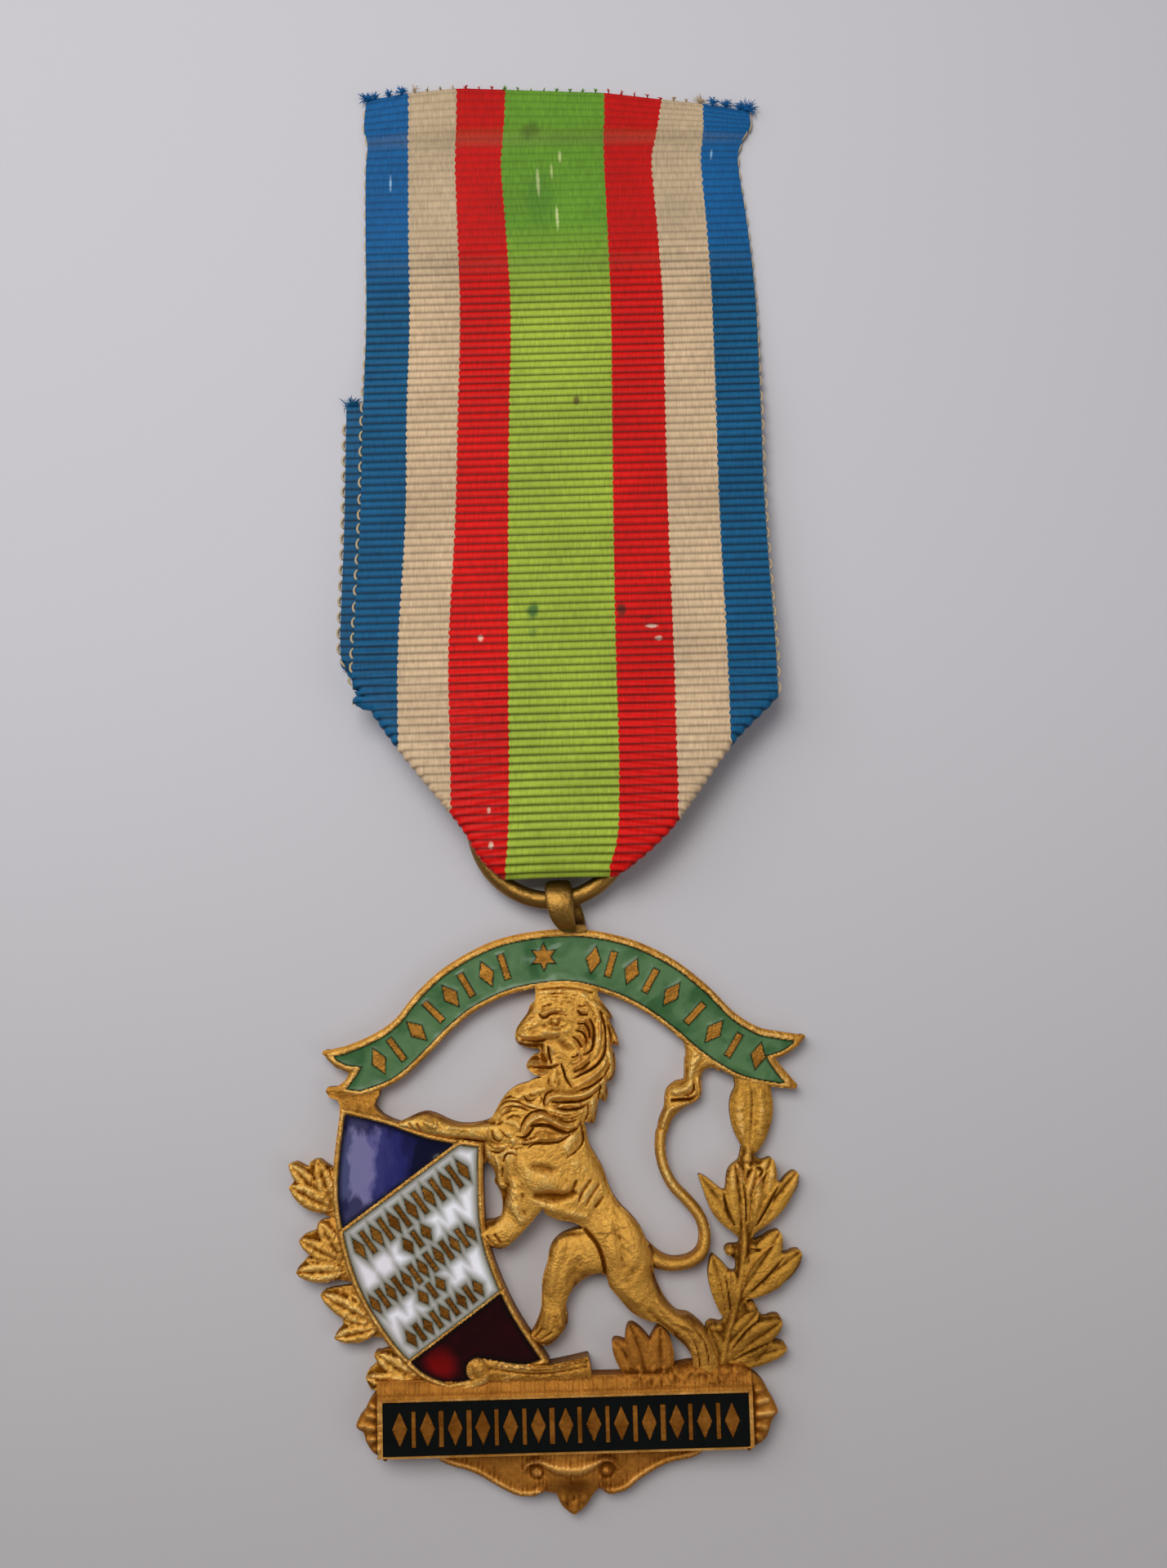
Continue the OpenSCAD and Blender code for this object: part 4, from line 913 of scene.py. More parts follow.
# Muscles (positive) and folds (negative): rows x, y, half width, amount
MUSCLES = forms("""
-4.2 -17.4 .9 .16, -3.4 -18.6 1.2 .22, -2 -18.9 1.1 .2, -.6 -19.3 .6 .12;
-3.4 -17.5 .4 -.12, -2.3 -17.7 .6 -.22, -1.3 -17.9 .4 -.12;
-3 -20 .5 -.3, -2 -20.1 .7 -.45, -.9 -20.2 .6 -.4, .2 -19.9 .4 -.25;
-5 -19 .8 .2, -5 -20.6 .8 .25, -4.4 -22 .6 .15;
.4 -18.9 .22 -.16, 0 -19.8 .22 -.16;
1.6 -18.9 .2 -.16, .8 -20 .2 -.18, .6 -20.6 .15 -.12;
2.3 -19.3 .2 -.14, 1.5 -20.4 .2 -.18, 1.2 -21 .15 -.12;
2.6 -20.4 .2 -.12, 2 -21.1 .2 -.16;
-2.4 -20.9 .5 .12, -.4 -21.5 .6 .14, 1.2 -22 .5 .1;
4.6 -21.9 .9 .12, 5 -23.4 1.1 .16, 5.4 -25.2 .9 .12;
3 -22.6 .7 .1, 3.2 -24.2 .8 .12, 3.6 -25.6 .6 .08;
5.3 -26.4 .5 -.12, 4.6 -27.3 .5 -.1;
4.2 -28 .6 .1, 5.4 -29.2 .5 .12;
3.6 -22.9 .5 -.07, 4 -24.4 .6 -.09, 4.2 -26.2 .5 -.05;
1 -23 .25 -.3, 2 -24.2 .25 -.4, 2.5 -25.6 .25 -.45, 2.7 -27.2 .25 -.4;
6.6 -26.3 .3 -.25, 6.9 -27.6 .25 -.3, 7.3 -28.6 .2 -.2;
7.2 -29.2 .5 .12, 8.2 -30.4 .6 .22, 9.6 -31.2 .5 .2, 10.4 -32.4 .35 .15;
6.4 -30 .4 -.15, 7.2 -31 .4 -.25, 8.6 -32 .3 -.2;
9.6 -32 .08 -.08, 10.3 -33.2 .11 -.16, 10.5 -34.8 .1 -.14;
10.2 -31.5 .08 -.08, 11 -32.8 .11 -.16, 11.3 -34.6 .1 -.14;
8.2 -31 .2 .06, 9.2 -31.2 .3 .12, 10.2 -31.6 .25 .1;
-1 -24 .7 .15, -1.7 -26.2 .6 .18, -2.1 -28.2 .45 .12;
.2 -25.9 .8 -.18, -.4 -27.4 .5 -.16;
-1.3 -29.9 .45 .22, -1.2 -31 .4 .2;
-2.4 -29.9 .35 .16, -2.6 -31 .35 .14;
-2.1 -31.5 .15 -.2, -2.9 -32.1 .12 -.16;
-2.9 -31.2 .14 -.2, -3.5 -31.9 .12 -.16;
-8.2 -14.2 .4 .1, -10.4 -14 .4 .12;
-11.6 -13.9 .35 .18, -12.4 -13.6 .4 .22;
-12.9 -14.4 .14 -.2, -13.2 -13.7 .14 -.22;
-13.6 -14.2 .12 -.18, -13.9 -13.6 .12 -.18;
-6.2 -23.9 .14 -.2, -6.7 -23.2 .14 -.25;
-6.9 -24 .12 -.18, -7.4 -23.3 .12 -.2;
-6.6 -22.2 .35 .15, -7.2 -22.6 .3 .12""")
# The face: x, y, half width, amount
FACE = forms("""
# brow ridge, and the dark groove under it
-2.45 -4.3 .2 .1, -2.1 -4.55 .24 .2, -1.6 -4.35 .22 .2, -1 -4.2 .2 .18, -.2 -4.35 .15 .12;
-2.45 -4.6 .1 -.2, -2.1 -4.92 .14 -.34, -1.75 -4.82 .13 -.3, -1.45 -4.62 .11 -.22, -.8 -4.6 .1 -.15,
0 -4.78 .08 -.08;
# lids
-1.95 -5.3 .09 .08, -1.45 -4.98 .11 .15, -.95 -4.9 .11 .16, -.45 -5.02 .11 .15, 0 -5.3 .09 .08;
-1.9 -5.45 .09 .08, -1.4 -5.68 .11 .13, -.8 -5.72 .11 .13, -.1 -5.42 .09 .08;
-1.8 -5.85 .08 -.06, -1.2 -6 .1 -.12, -.5 -5.95 .08 -.08;
# bridge of the nose with its hair lines, and the tip
-2.2 -4.9 .4 .06, -3.1 -5.35 .55 .1, -3.7 -5.9 .5 .12;
-3.7 -4.75 .05 -.09, -3.1 -4.5 .06 -.12, -2.7 -4.6 .05 -.09;
-4 -5.15 .05 -.09, -3.3 -4.85 .06 -.12, -2.7 -4.9 .05 -.09;
-4.15 -5.5 .05 -.09, -3.5 -5.15 .06 -.12, -2.8 -5.2 .05 -.09;
-4.1 -5.85 .05 -.09, -3.6 -5.5 .06 -.12, -3 -5.5 .05 -.09;
-4.35 -6.35 .06 -.08, -4.15 -6.5 .1 -.22, -3.8 -6.6 .1 -.22, -3.55 -6.68 .07 -.1;
-4.32 -6.72 .12 .12, -4.1 -6.82 .14 .16;
-3.6 -6.45 .16 .1, -3.1 -6.45 .22 .2, -2.4 -6.4 .2 .1;
# dark underside of the upper lip, with two glints
-4.1 -6.72 .1 -.1, -3.7 -6.85 .18 -.32, -2.9 -6.95 .22 -.42, -2.3 -6.9 .2 -.36, -1.9 -6.8 .14 -.12;
-4.2 -7.2 .3 -.3, -3.2 -7.35 .36 -.5, -2.3 -7.3 .3 -.4;
-3.3 -7.3 .07 .16, -2.6 -7.32 .07 .16;
-4.3 -6.83 .09 .24, -4.05 -6.83 .09 .24;
# the open mouth, lower lip and chin
-2.3 -7.6 .3 -.4, -2.3 -8.2 .42 -.5, -2 -8.6 .3 -.4;
-3.45 -8.6 .12 -.2, -3.1 -8.4 .22 -.35, -2.7 -8.4 .26 -.4;
-2.3 -7.85 .12 .22, -2.1 -7.95 .12 .26;
-2.75 -8.35 .1 .12, -2.4 -8.3 .12 .16;
-1.75 -7.5 .12 -.3, -1.65 -8.2 .15 -.42, -1.5 -8.8 .12 -.3;
-3.45 -8.95 .13 .3, -2.9 -8.78 .14 .36, -2.2 -8.9 .12 .32, -1.7 -9 .1 .18;
-3.5 -9.3 .2 -.2, -2.9 -9.5 .24 -.28, -2.2 -9.45 .2 -.2;
-3.4 -9.15 .16 -.2, -2.6 -9.2 .2 -.34, -1.6 -9.2 .2 -.3, -.9 -9 .12 -.16;
-2.7 -9.8 .1 .1, -2.2 -9.7 .13 .2, -1.85 -9.55 .12 .16;
# tuft under the jaw
-1.2 -9.4 .3 .16, -1.3 -10.1 .55 .26, -1.2 -10.9 .4 .14;
-.65 -8.9 .1 -.2, -.45 -9.5 .12 -.32, -.25 -10.2 .12 -.32, .2 -10.9 .08 -.18;
-1.7 -9.9 .06 -.08, -1.8 -10.6 .07 -.1;
-1.1 -9.8 .06 -.08, -1.2 -10.6 .07 -.1;
# cheek
-.9 -6.8 .35 -.08, -.3 -7.35 .5 -.22, .3 -7.7 .35 -.14;
-2 -6.1 .4 .08, -1 -6.15 .45 .1, .1 -6 .4 .08;
-1.6 -7.3 .2 .12, -1.3 -7.8 .2 .14;
-.9 -8.2 .18 .14, -.4 -8.4 .14 .12;
# ear
.9 -4.4 .1 -.18, 1.2 -4.72 .12 -.26, 1.75 -4.78 .1 -.2;
1.1 -4.25 .18 .16, 1.5 -4.45 .22 .2, 1.85 -4.3 .14 .12;
1 -4 .08 -.1, 1.6 -3.95 .08 -.12;
# lines of hair on the forehead
-2.3 -3 .06 -.06, -1.2 -2.85 .07 -.09, .2 -2.95 .07 -.09, 1.4 -3.3 .06 -.06;
-2.4 -3.35 .06 -.06, -1.3 -3.15 .07 -.09, .1 -3.25 .07 -.09, 1.3 -3.65 .06 -.06;
-2.6 -3.75 .06 -.06, -1.6 -3.45 .07 -.09, -.4 -3.5 .07 -.08, .5 -3.7 .06 -.06;
-2.2 -3.95 .06 -.06, -1.3 -3.75 .07 -.09, -.3 -3.8 .06 -.08;
-2.6 -2.55 .12 -.1, -1 -2.4 .14 -.16, .8 -2.5 .14 -.16, 2.3 -2.9 .1 -.1""")
print("forms", len(LION_FORMS), "muscles and folds", len(MUSCLES), "marks on the face", len(FACE))

# %% Mane
# Ridges (positive) and cuts (negative) of the hair: rows x, y, half width, amount
MANE = forms("""
# curls beside the ear
.9 -5.2 .08 .14, 1.6 -5.22 .13 .3, 2 -5.8 .14 .32, 2.05 -6.8 .1 .22;
.9 -5.5 .06 -.18, 1.5 -5.55 .1 -.34, 1.85 -6.15 .1 -.32, 1.85 -6.8 .07 -.2;
.8 -5.82 .08 .14, 1.35 -5.88 .12 .3, 1.72 -6.45 .13 .3, 1.8 -7.2 .08 .2;
.7 -6.1 .07 -.2, 1.25 -6.25 .1 -.36, 1.58 -6.85 .1 -.32, 1.6 -7.5 .07 -.16;
.7 -6.42 .08 .12, 1.1 -6.7 .12 .2, 1.4 -7.3 .12 .2, 1.35 -7.9 .06 .12;
.4 -6.6 .07 -.16, .85 -6.95 .1 -.3, 1.15 -7.5 .1 -.26;
.3 -6.75 .06 .1, .7 -7.15 .1 .18, .9 -7.7 .1 .18, .6 -8.3 .06 .12;
.9 -8 .1 .12, 1 -8.5 .16 .24, .5 -8.8 .16 .24, .1 -8.6 .08 .14;
1.9 -7.95 .1 .12, 1.6 -8.5 .16 .24, .9 -8.95 .16 .24, .2 -9.4 .06 .14;
.3 -8.35 .08 -.2, .75 -8.25 .08 -.2, .8 -8 .06 -.1;
# the dark line behind the cheek, the smooth band and the long lines round it
1.95 -5.1 .08 -.16, 2.25 -5.9 .14 -.34, 2.22 -6.9 .15 -.38, 2 -7.8 .14 -.34, 1.3 -8.2 .08 -.16;
1.2 -2.9 .3 .08, 2.4 -4.2 .38 .16, 2.72 -5.6 .38 .18, 2.65 -7.2 .36 .18, 2.3 -8.3 .25 .14;
2 -3.6 .06 -.06, 2.6 -4.9 .07 -.1, 2.7 -6.6 .07 -.1, 2.45 -8 .06 -.08;
1.6 -3.5 .06 -.06, 2.3 -4.6 .07 -.1, 2.5 -6 .06 -.06;
2.4 -3.4 .06 -.06, 2.95 -4.7 .07 -.1, 2.95 -6.6 .06 -.08, 2.75 -8 .06 -.06;
2.9 -4.6 .08 -.12, 3.18 -5.6 .11 -.26, 3.28 -7 .12 -.3, 3.05 -8.3 .14 -.34, 2.3 -9.2 .16 -.36,
1.1 -9.85 .15 -.32, .4 -10.2 .08 -.16;
3.45 -5.3 .1 -.18, 3.68 -6.4 .12 -.26, 3.72 -7.3 .1 -.2;
2.9 -8 .06 .1, 2.4 -8.85 .1 .2, 1.4 -9.55 .1 .2, .6 -9.9 .06 .1;
.5 -9.6 .16 -.2, 1.2 -9.35 .2 -.3, 1.8 -8.85 .14 -.2;
3.3 -8.2 .1 .1, 3 -9.2 .22 .26, 2 -10.1 .28 .32, .9 -10.7 .2 .22, .2 -11 .06 .1;
2.9 -9.5 .06 -.08, 2.1 -10.15 .07 -.12, 1 -10.75 .06 -.08;
3.6 -9 .08 -.14, 3.1 -10 .11 -.26, 2 -10.85 .12 -.3, .9 -11.2 .1 -.2;
# tips that stand out at the back of the neck
2.3 -3.6 .2 .1, 3.1 -4.4 .3 .24, 3.85 -5.05 .06 .2;
3.2 -4.9 .2 .1, 3.85 -6 .3 .24, 4.25 -7.2 .1 .2;
3.5 -7.8 .2 .1, 3.75 -8.8 .3 .26, 3.7 -9.8 .25 .26, 3.4 -10.4 .06 .16;
3 -9.9 .2 .1, 3 -10.9 .3 .22, 3 -12 .08 .16;
2.7 -10.9 .1 -.2, 2.5 -12 .1 -.3;
2 -12.1 .3 .14, 2.1 -13.2 .35 .2, 2 -13.9 .1 .14;
1.5 -12.2 .08 -.12, 1.6 -13.1 .1 -.2, 1.3 -13.8 .1 -.2;
# the upper great lock, with the dark strands under it
2.7 -10.6 .3 .15, 1.6 -11.45 .36 .32, .2 -11.7 .38 .36, -1 -11.6 .36 .34, -1.72 -11.8 .28 .28,
-2 -12.3 .1 .15;
1.6 -11.2 .06 -.06, .2 -11.5 .07 -.1, -1.1 -11.4 .06 -.08;
-1.3 -11.1 .08 -.12, -2 -11.45 .1 -.26, -2.22 -12.1 .1 -.26, -2.1 -12.5 .08 -.12;
-1.5 -12.12 .1 -.2, -.3 -12.2 .14 -.4, .9 -12.15 .14 -.36, 1.8 -11.8 .1 -.2, 2.6 -11.2 .08 -.12;
-1.6 -12.35 .07 .14, -.5 -12.5 .08 .22, .9 -12.45 .08 .18, 1.5 -12.2 .06 .08;
-1.3 -12.65 .1 -.16, -.4 -12.82 .15 -.36, .7 -12.78 .15 -.36, 1.4 -12.5 .1 -.18;
1.1 -13 .2 .1, 0 -13.35 .5 .16, -1.2 -13 .5 .16, -1.8 -12.8 .3 .1;
-1.7 -12.95 .07 -.1, -.6 -13.25 .08 -.18, .4 -13.2 .08 -.16, 1 -12.95 .06 -.08;
-1.4 -13.25 .07 -.1, -.5 -13.6 .08 -.18, .4 -13.5 .08 -.18, .9 -13.2 .06 -.1;
-.9 -13.6 .07 -.1, -.2 -13.88 .08 -.18, .5 -13.75 .08 -.12;
# the lower great lock
-4.1 -14.9 .12 .15, -3.75 -14.1 .3 .32, -3.1 -13.45 .38 .42, -2.3 -13.3 .38 .44, -1.5 -13.7 .34 .38,
-.6 -14.2 .26 .28, .3 -14.25 .2 .2, .8 -13.9 .1 .1;
-3.9 -14.4 .06 -.06, -3.3 -13.6 .07 -.12, -2.4 -13.3 .07 -.12, -1.4 -13.8 .07 -.1;
-4.35 -14.6 .08 -.1, -4.08 -13.8 .1 -.26, -3.4 -13.02 .11 -.3, -2.5 -12.8 .1 -.26, -1.9 -12.98 .07 -.1;
-3.3 -14.1 .14 -.3, -2.6 -14.05 .19 -.52, -1.8 -14.15 .19 -.52, -1 -14.55 .19 -.5, -.2 -14.75 .15 -.36,
.6 -14.4 .08 -.14;
-3.2 -14.3 .12 -.24, -3.6 -14.8 .16 -.42, -4 -15.05 .14 -.34, -4.6 -15 .08 -.14;
-3.1 -14.7 .08 .12, -2.4 -14.45 .1 .26, -1.6 -14.7 .09 .22, -.8 -14.92 .07 .1;
-.3 -14.95 .15 .12, -1.5 -15.2 .25 .24, -2.6 -15.15 .28 .28, -3.5 -15.4 .24 .24, -4.4 -15.5 .08 .12;
-.8 -15.15 .06 -.08, -1.8 -15.3 .07 -.12, -2.8 -15.2 .06 -.08;
-2.9 -15 .06 -.1, -3.5 -15.2 .08 -.22, -4.2 -15.3 .06 -.12;
-3.2 -15.45 .06 -.1, -3.8 -15.65 .07 -.18, -4.3 -15.6 .05 -.1;
-3.7 -16 .08 -.16, -3.1 -15.6 .1 -.28, -2 -15.6 .1 -.28, -1 -15.5 .1 -.28, -.2 -15.05 .09 -.24,
.6 -14.45 .08 -.18, 1 -13.9 .06 -.1;
# front of the mane
-2.2 -11 .4 .16, -3.6 -11.3 .5 .2, -5 -11.9 .4 .18, -6 -12.6 .3 .12;
-2.6 -12.6 .2 .1, -3.8 -12.3 .3 .16, -5 -12.3 .3 .18, -6 -13 .25 .14, -6.4 -13.9 .2 .1;
-6.3 -12.7 .08 -.1, -5.6 -12.05 .1 -.22, -4.6 -12 .1 -.26, -3.5 -12.5 .1 -.26, -2.6 -12.7 .08 -.14;
-6.15 -13.1 .08 -.12, -5.5 -12.45 .09 -.24, -4.5 -12.45 .09 -.24, -3.5 -12.85 .08 -.16;
-5.9 -13.2 .07 -.1, -5.2 -12.85 .08 -.2, -4.5 -12.85 .07 -.12;
-5.6 -13.6 .07 -.1, -4.9 -13.2 .08 -.18, -4.2 -13.4 .07 -.12;
-6 -11.95 .07 -.1, -5.2 -11.6 .09 -.22, -4.6 -11.75 .07 -.12;
-4 -11.4 .07 -.12, -3.75 -11.85 .09 -.24, -3.3 -12 .09 -.24, -2.9 -11.75 .07 -.1;
-3.4 -11.3 .06 -.1, -3.3 -11.6 .07 -.18, -2.9 -11.5 .06 -.1;
-2.6 -11.3 .06 -.1, -2.4 -11.9 .07 -.16, -2.6 -12.3 .06 -.1;
-5.8 -13.6 .3 .14, -4.9 -13.7 .4 .18, -4.4 -14.2 .4 .16;
-6.9 -13.8 .08 -.14, -6.2 -13.9 .1 -.22, -5.7 -13.6 .07 -.12;
-7.1 -14 .12 .1, -7.15 -15 .13 .15, -6.85 -15.65 .14 .16, -6.2 -15.85 .14 .15, -5.5 -15.65 .1 .08;
-6.75 -14.4 .12 -.14, -6.6 -15.1 .18 -.24, -6.1 -15.35 .12 -.16, -5.8 -15 .08 -.08;
-6.1 -14.3 .07 -.12, -5.6 -14.9 .09 -.2, -5.1 -15.1 .07 -.12;
-5.4 -14.6 .4 .12, -4.9 -15.4 .35 .12;
-6.9 -16.2 .09 -.22, -6.2 -16.3 .1 -.26, -5.6 -16 .08 -.14;
-5.3 -15.9 .07 -.14, -4.7 -16 .08 -.18, -4.2 -15.9 .06 -.1;
-5.8 -17.1 .09 -.22, -5.7 -16.6 .1 -.28, -5.2 -16.35 .1 -.28, -4.7 -16.6 .07 -.14;
-6.5 -16.7 .2 .12, -6.3 -17.5 .2 .14, -6.3 -18.4 .15 .1;
-5.9 -17.6 .08 -.16, -6 -18.4 .08 -.16;
# the bare side of the chest
.2 -15.2 .7 .16, -.4 -16.1 .7 .14;
.9 -13.9 .08 -.1, 1.05 -14.8 .1 -.24, 1 -15.7 .1 -.26, .4 -16.4 .1 -.22, -.4 -16.9 .08 -.12""")
print("ridges and cuts of the mane", len(MANE))


# %% Lion mesh
lion = Relief(-15.4, 13.6, -36.3, -1.6, step=0.92 * FINE)
lion.figure(LION_OUTLINE, 1.62, 0.75, 0.55)
lion.figure(TUFT_OUTLINE, 1.4, 0.45, 0.3)
silhouette = lion.depth.copy()
for rows in LION_FORMS:
    lion.form(rows, edge=1.8, blend=0.14, roundness=0.5, power=2.8)
lion.depth = silhouette
lion.form(TAIL, edge=1.35, blend=0.05)
for rows in MUSCLES + MANE + FACE + TUFT_GROOVES:
    lion.swell(rows)
# the eye is a ball in a round groove
lion.boss(-1.06, -5.22, 0.18, 0.26, 0.36, 0.1)
lion.strokes(FUR, seed=4)
lion.grain(0.024, 0.28, 1.5, seed=7)
lion.depth = np.minimum(lion.depth, UNDER_SCROLL - lion.inside(scroll_outline()))
# the lion gets darker towards its feet: partly patina, partly painted shade of the light falling off
# towards the badge's foot
lion_piece = lion.mesh("lion", 0.04, stain_and_shade=-0.06 + 0.09 * smoothstep(-lion.Y, 19, 29))
dress(lion_piece, gilt, "badge_body")

# %% [markdown]
# ## Leaves
# A laurel branch on the right and an oak branch on the left frame the figure. Both are cut along
# measured outlines. The laurel's leaves are plain and pointed, with berries between them. The
# oak's are lobed, and each lobe swells like a small leaf with a vein of its own.

# %% Laurel
LAUREL_LEAVES = measures("""
# base x, y, tip x, y, half width, height, bend
12.5 -35 11.4 -31.6 .75 1.8 .1, 12.9 -35 18.15 -33.55 1.05 1.75 -.2,
12.5 -34.9 17.8 -31.2 1.25 1.95 -.15, 13 -32.9 15.8 -30.2 .75 1.9 .1,
12.9 -31.3 11.85 -25.5 1.15 1.8 .25, 14.1 -29.7 19.7 -25.4 1.25 1.85 -.15,
13.9 -29.3 17.95 -23.6 1.3 1.95 .1, 13.5 -30.2 13.55 -26.7 .65 1.85 0,
14.5 -24.4 10.9 -18.6 1.1 1.8 .25, 15.2 -24.2 19.7 -18.6 1.2 1.85 -.25,
15.1 -24.4 17.4 -17.3 1.35 1.95 -.15, 14.6 -24.4 14.15 -17.65 1.15 2 .1, 14.9 -24 16.1 -18 .9 2.1 0""")
LAUREL_MASS = measures("""
# the branch's outline below its top leaf: down the right side, up the left
14.8 -16.6, 15.85 -16.6, 15.9 -17.4, 16.6 -17.7, 17.3 -17.5, 17.65 -18, 17.75 -18.7, 17.75 -19.4,
18.1 -19.65, 18.6 -19.1, 19.2 -18.72, 19.6 -18.85, 19.7 -19.4, 19.5 -20.1, 19 -20.9, 18.4 -21.7,
17.6 -22.5, 16.7 -23.2, 15.9 -23.7, 15.5 -24.1, 15.6 -24.5, 16.2 -24.3, 17 -23.87, 17.7 -23.68,
18 -24.15, 18.05 -25, 17.95 -25.6, 18.3 -25.65, 18.9 -25.4, 19.45 -25.38, 19.65 -25.8, 19.5 -26.6,
18.9 -27.4, 18.1 -28.1, 17.2 -28.65, 16.3 -29.05, 15.4 -29.3, 14.8 -29.4, 14.8 -29.7, 15.2 -29.65,
15.6 -30.1, 15.85 -30.7, 16.3 -30.95, 17 -30.75, 17.5 -30.85, 17.72 -31.35, 17.55 -31.95, 17.1 -32.5,
16.7 -32.95, 17.2 -33, 17.8 -33.15, 18.05 -33.6, 17.6 -34.15, 16.7 -34.55, 15.7 -34.9, 14.9 -35.1,
14.5 -36, 10.9 -36, 11 -34, 11.1 -32.6, 11.2 -31.5, 11.7 -31.15, 12.4 -31.3, 12.75 -31, 12.4 -30.4,
12 -29.5, 11.7 -28.5, 11.53 -27.5, 11.6 -26.5, 11.92 -25.6, 12.4 -25.9, 12.9 -26.4, 13.35 -26.95,
13.9 -27, 13.95 -26.2, 13.5 -25.7, 13.2 -25.1, 13.4 -24.8, 14.3 -24.75, 14.25 -24.2, 13.8 -23.75,
13.1 -23.2, 12.4 -22.5, 11.95 -21.8, 11.65 -21, 11.4 -20.2, 11.15 -19.4, 11 -18.8, 11.5 -18.95,
12.2 -19.5, 12.9 -20.1, 13.3 -20.1, 13.4 -19.3, 13.55 -18.6, 13.9 -18.1, 14.5 -17.7, 14.65 -17.3""")
LAUREL_LINES = forms("""
# folds between the leaves (negative) and their raised edges: x, y, half width, amount
13.05 -20.2 .12 -.12, 13.3 -21.6 .16 -.3, 13.9 -23.1 .12 -.2;
14.85 -19.6 .1 -.12, 14.95 -21.3 .14 -.3, 14.9 -22.8 .1 -.16;
17.8 -20 .1 -.15, 16.9 -21.5 .15 -.34, 15.9 -23.1 .12 -.2;
16.1 -18.3 .2 -.3, 16.5 -18.6 .18 -.3, 16 -19.2 .1 -.15;
18.1 -25.9 .1 -.12, 16.7 -27.4 .15 -.34, 15.2 -28.7 .12 -.22;
15.3 -25.2 .18 -.34, 16 -25.25 .16 -.3;
13.7 -25.8 .14 -.3, 13.75 -26.8 .14 -.3;
13 -27.4 .1 -.12, 13.2 -29 .13 -.26, 13.3 -30.2 .1 -.14;
15.9 -31 .12 -.16, 14.6 -32 .15 -.3, 13.4 -33.4 .12 -.18;
16.6 -33 .12 -.16, 15 -33.6 .15 -.3, 13.4 -34.4 .12 -.18;
15.35 -23.2 .1 .1, 15.5 -21.4 .14 .2, 15.8 -19.9 .14 .2, 16.6 -18.95 .12 .16, 17.2 -18.3 .08 .08;
15.9 -22.7 .08 .1, 16.7 -21.2 .1 .18, 17.6 -20 .08 .1;
14.3 -18.2 .12 .14, 14.75 -19 .12 .18, 14.98 -20 .08 .1;
14.4 -28.6 .1 .12, 15 -26.9 .12 .2, 16.2 -25.5 .12 .2, 17.4 -24.7 .1 .14;
12.3 -27.4 .06 .06, 12.6 -28.6 .1 .16, 12.8 -29.9 .07 .08""")
TOP_LEAF = measures("""
15.3 -17.2, 14.75 -16.3, 14.25 -15.2, 13.98 -14, 13.95 -12.9, 14.15 -12, 14.5 -11.3, 14.6 -9.6,
17.4 -9.6, 17.55 -11.7, 17.68 -12.8, 17.6 -14, 17.3 -15, 16.8 -16.1, 16.2 -16.9, 15.7 -17.25""")
TOP_LEAF_SWELLS = forms("""
15.45 -16.9 .12 -.04, 15.7 -14.5 .16 -.1, 15.85 -12.5 .16 -.11, 15.7 -10.9 .12 -.06;
14.9 -15.4 .5 .08, 14.8 -13.2 .6 .12, 15 -11.8 .5 .06;
16.5 -15.2 .5 .1, 16.7 -13.2 .6 .14, 16.6 -11.9 .5 .1""")
LAUREL_STEM = measures("""
15.45 -16.6 .36 1.85, 15.2 -18 .4 1.8, 14.95 -20 .2 1.85, 14.75 -22.8 .26 1.9, 14.75 -24.5 .36 2,
14.5 -26.5 .34 1.9, 13.9 -29.5 .34 1.9, 13 -32.4 .34 1.85, 12.3 -35.2 .55 1.85""")
BERRIES = measures("""
15.25 -17.55 .4, 13.45 -25.25 .42, 15.5 -25.15 .42, 15.1 -30.05 .45, 11.8 -31.7 .36, 12.3 -31.65 .36,
15.9 -18.35 .4, 15.35 -18.3 .3, 16.45 -18.4 .28""")
LAUREL_STROKES = measures("""
15 -13.8 1.5 36 8 40 .6 .035, 16.6 -13.8 1.2 28 -12 40 .6 .035, 15.7 -12.2 1.6 20 80 50 .6 .035,
12.6 -21.2 1.3 22 120 30 .8 .04, 14.4 -20.6 1.3 26 95 25 .8 .05, 16.6 -20.4 1.4 26 70 25 .8 .05,
18 -21.4 1.2 20 50 25 .8 .04, 12.4 -28.2 1.2 22 100 25 .8 .04, 16.4 -26.4 1.5 26 50 30 .8 .05,
17.2 -27.4 1.4 22 40 30 .8 .04, 15.2 -32.8 1.5 24 35 30 .8 .05, 16 -34 1.2 18 15 30 .8 .04,
14.4 -26 .7 16 90 60 .5 .05, 13.6 -30 .9 18 70 60 .5 .05""")
laurel = Relief(10.2, 20.6, -36.0, -7.6)
mass = laurel.figure(LAUREL_MASS, 1.2, 0.35, 0.3)
for row in LAUREL_LEAVES:
    laurel.leaf(row, vein=0.05)
laurel.depth = mass.copy()
laurel.figure(TOP_LEAF, 1.42, 0.32, 0.4, blend=0.03)
laurel.form(LAUREL_STEM, edge=1.2, blend=0.05)
for x, y, r in BERRIES:
    away = np.hypot(laurel.X - x, laurel.Y - y)
    laurel.merge(r - away, 1.5 + np.sqrt(np.clip(r * r - away * away, 0, None)) * 1.2, 0.03)
for rows in TOP_LEAF_SWELLS + LAUREL_LINES:
    laurel.swell(rows)
laurel.strokes(LAUREL_STROKES, seed=6)
laurel.grain(0.03, 0.25, 1.2, seed=9)
laurel.depth = np.minimum(laurel.depth, UNDER_SCROLL - laurel.inside(scroll_outline()))
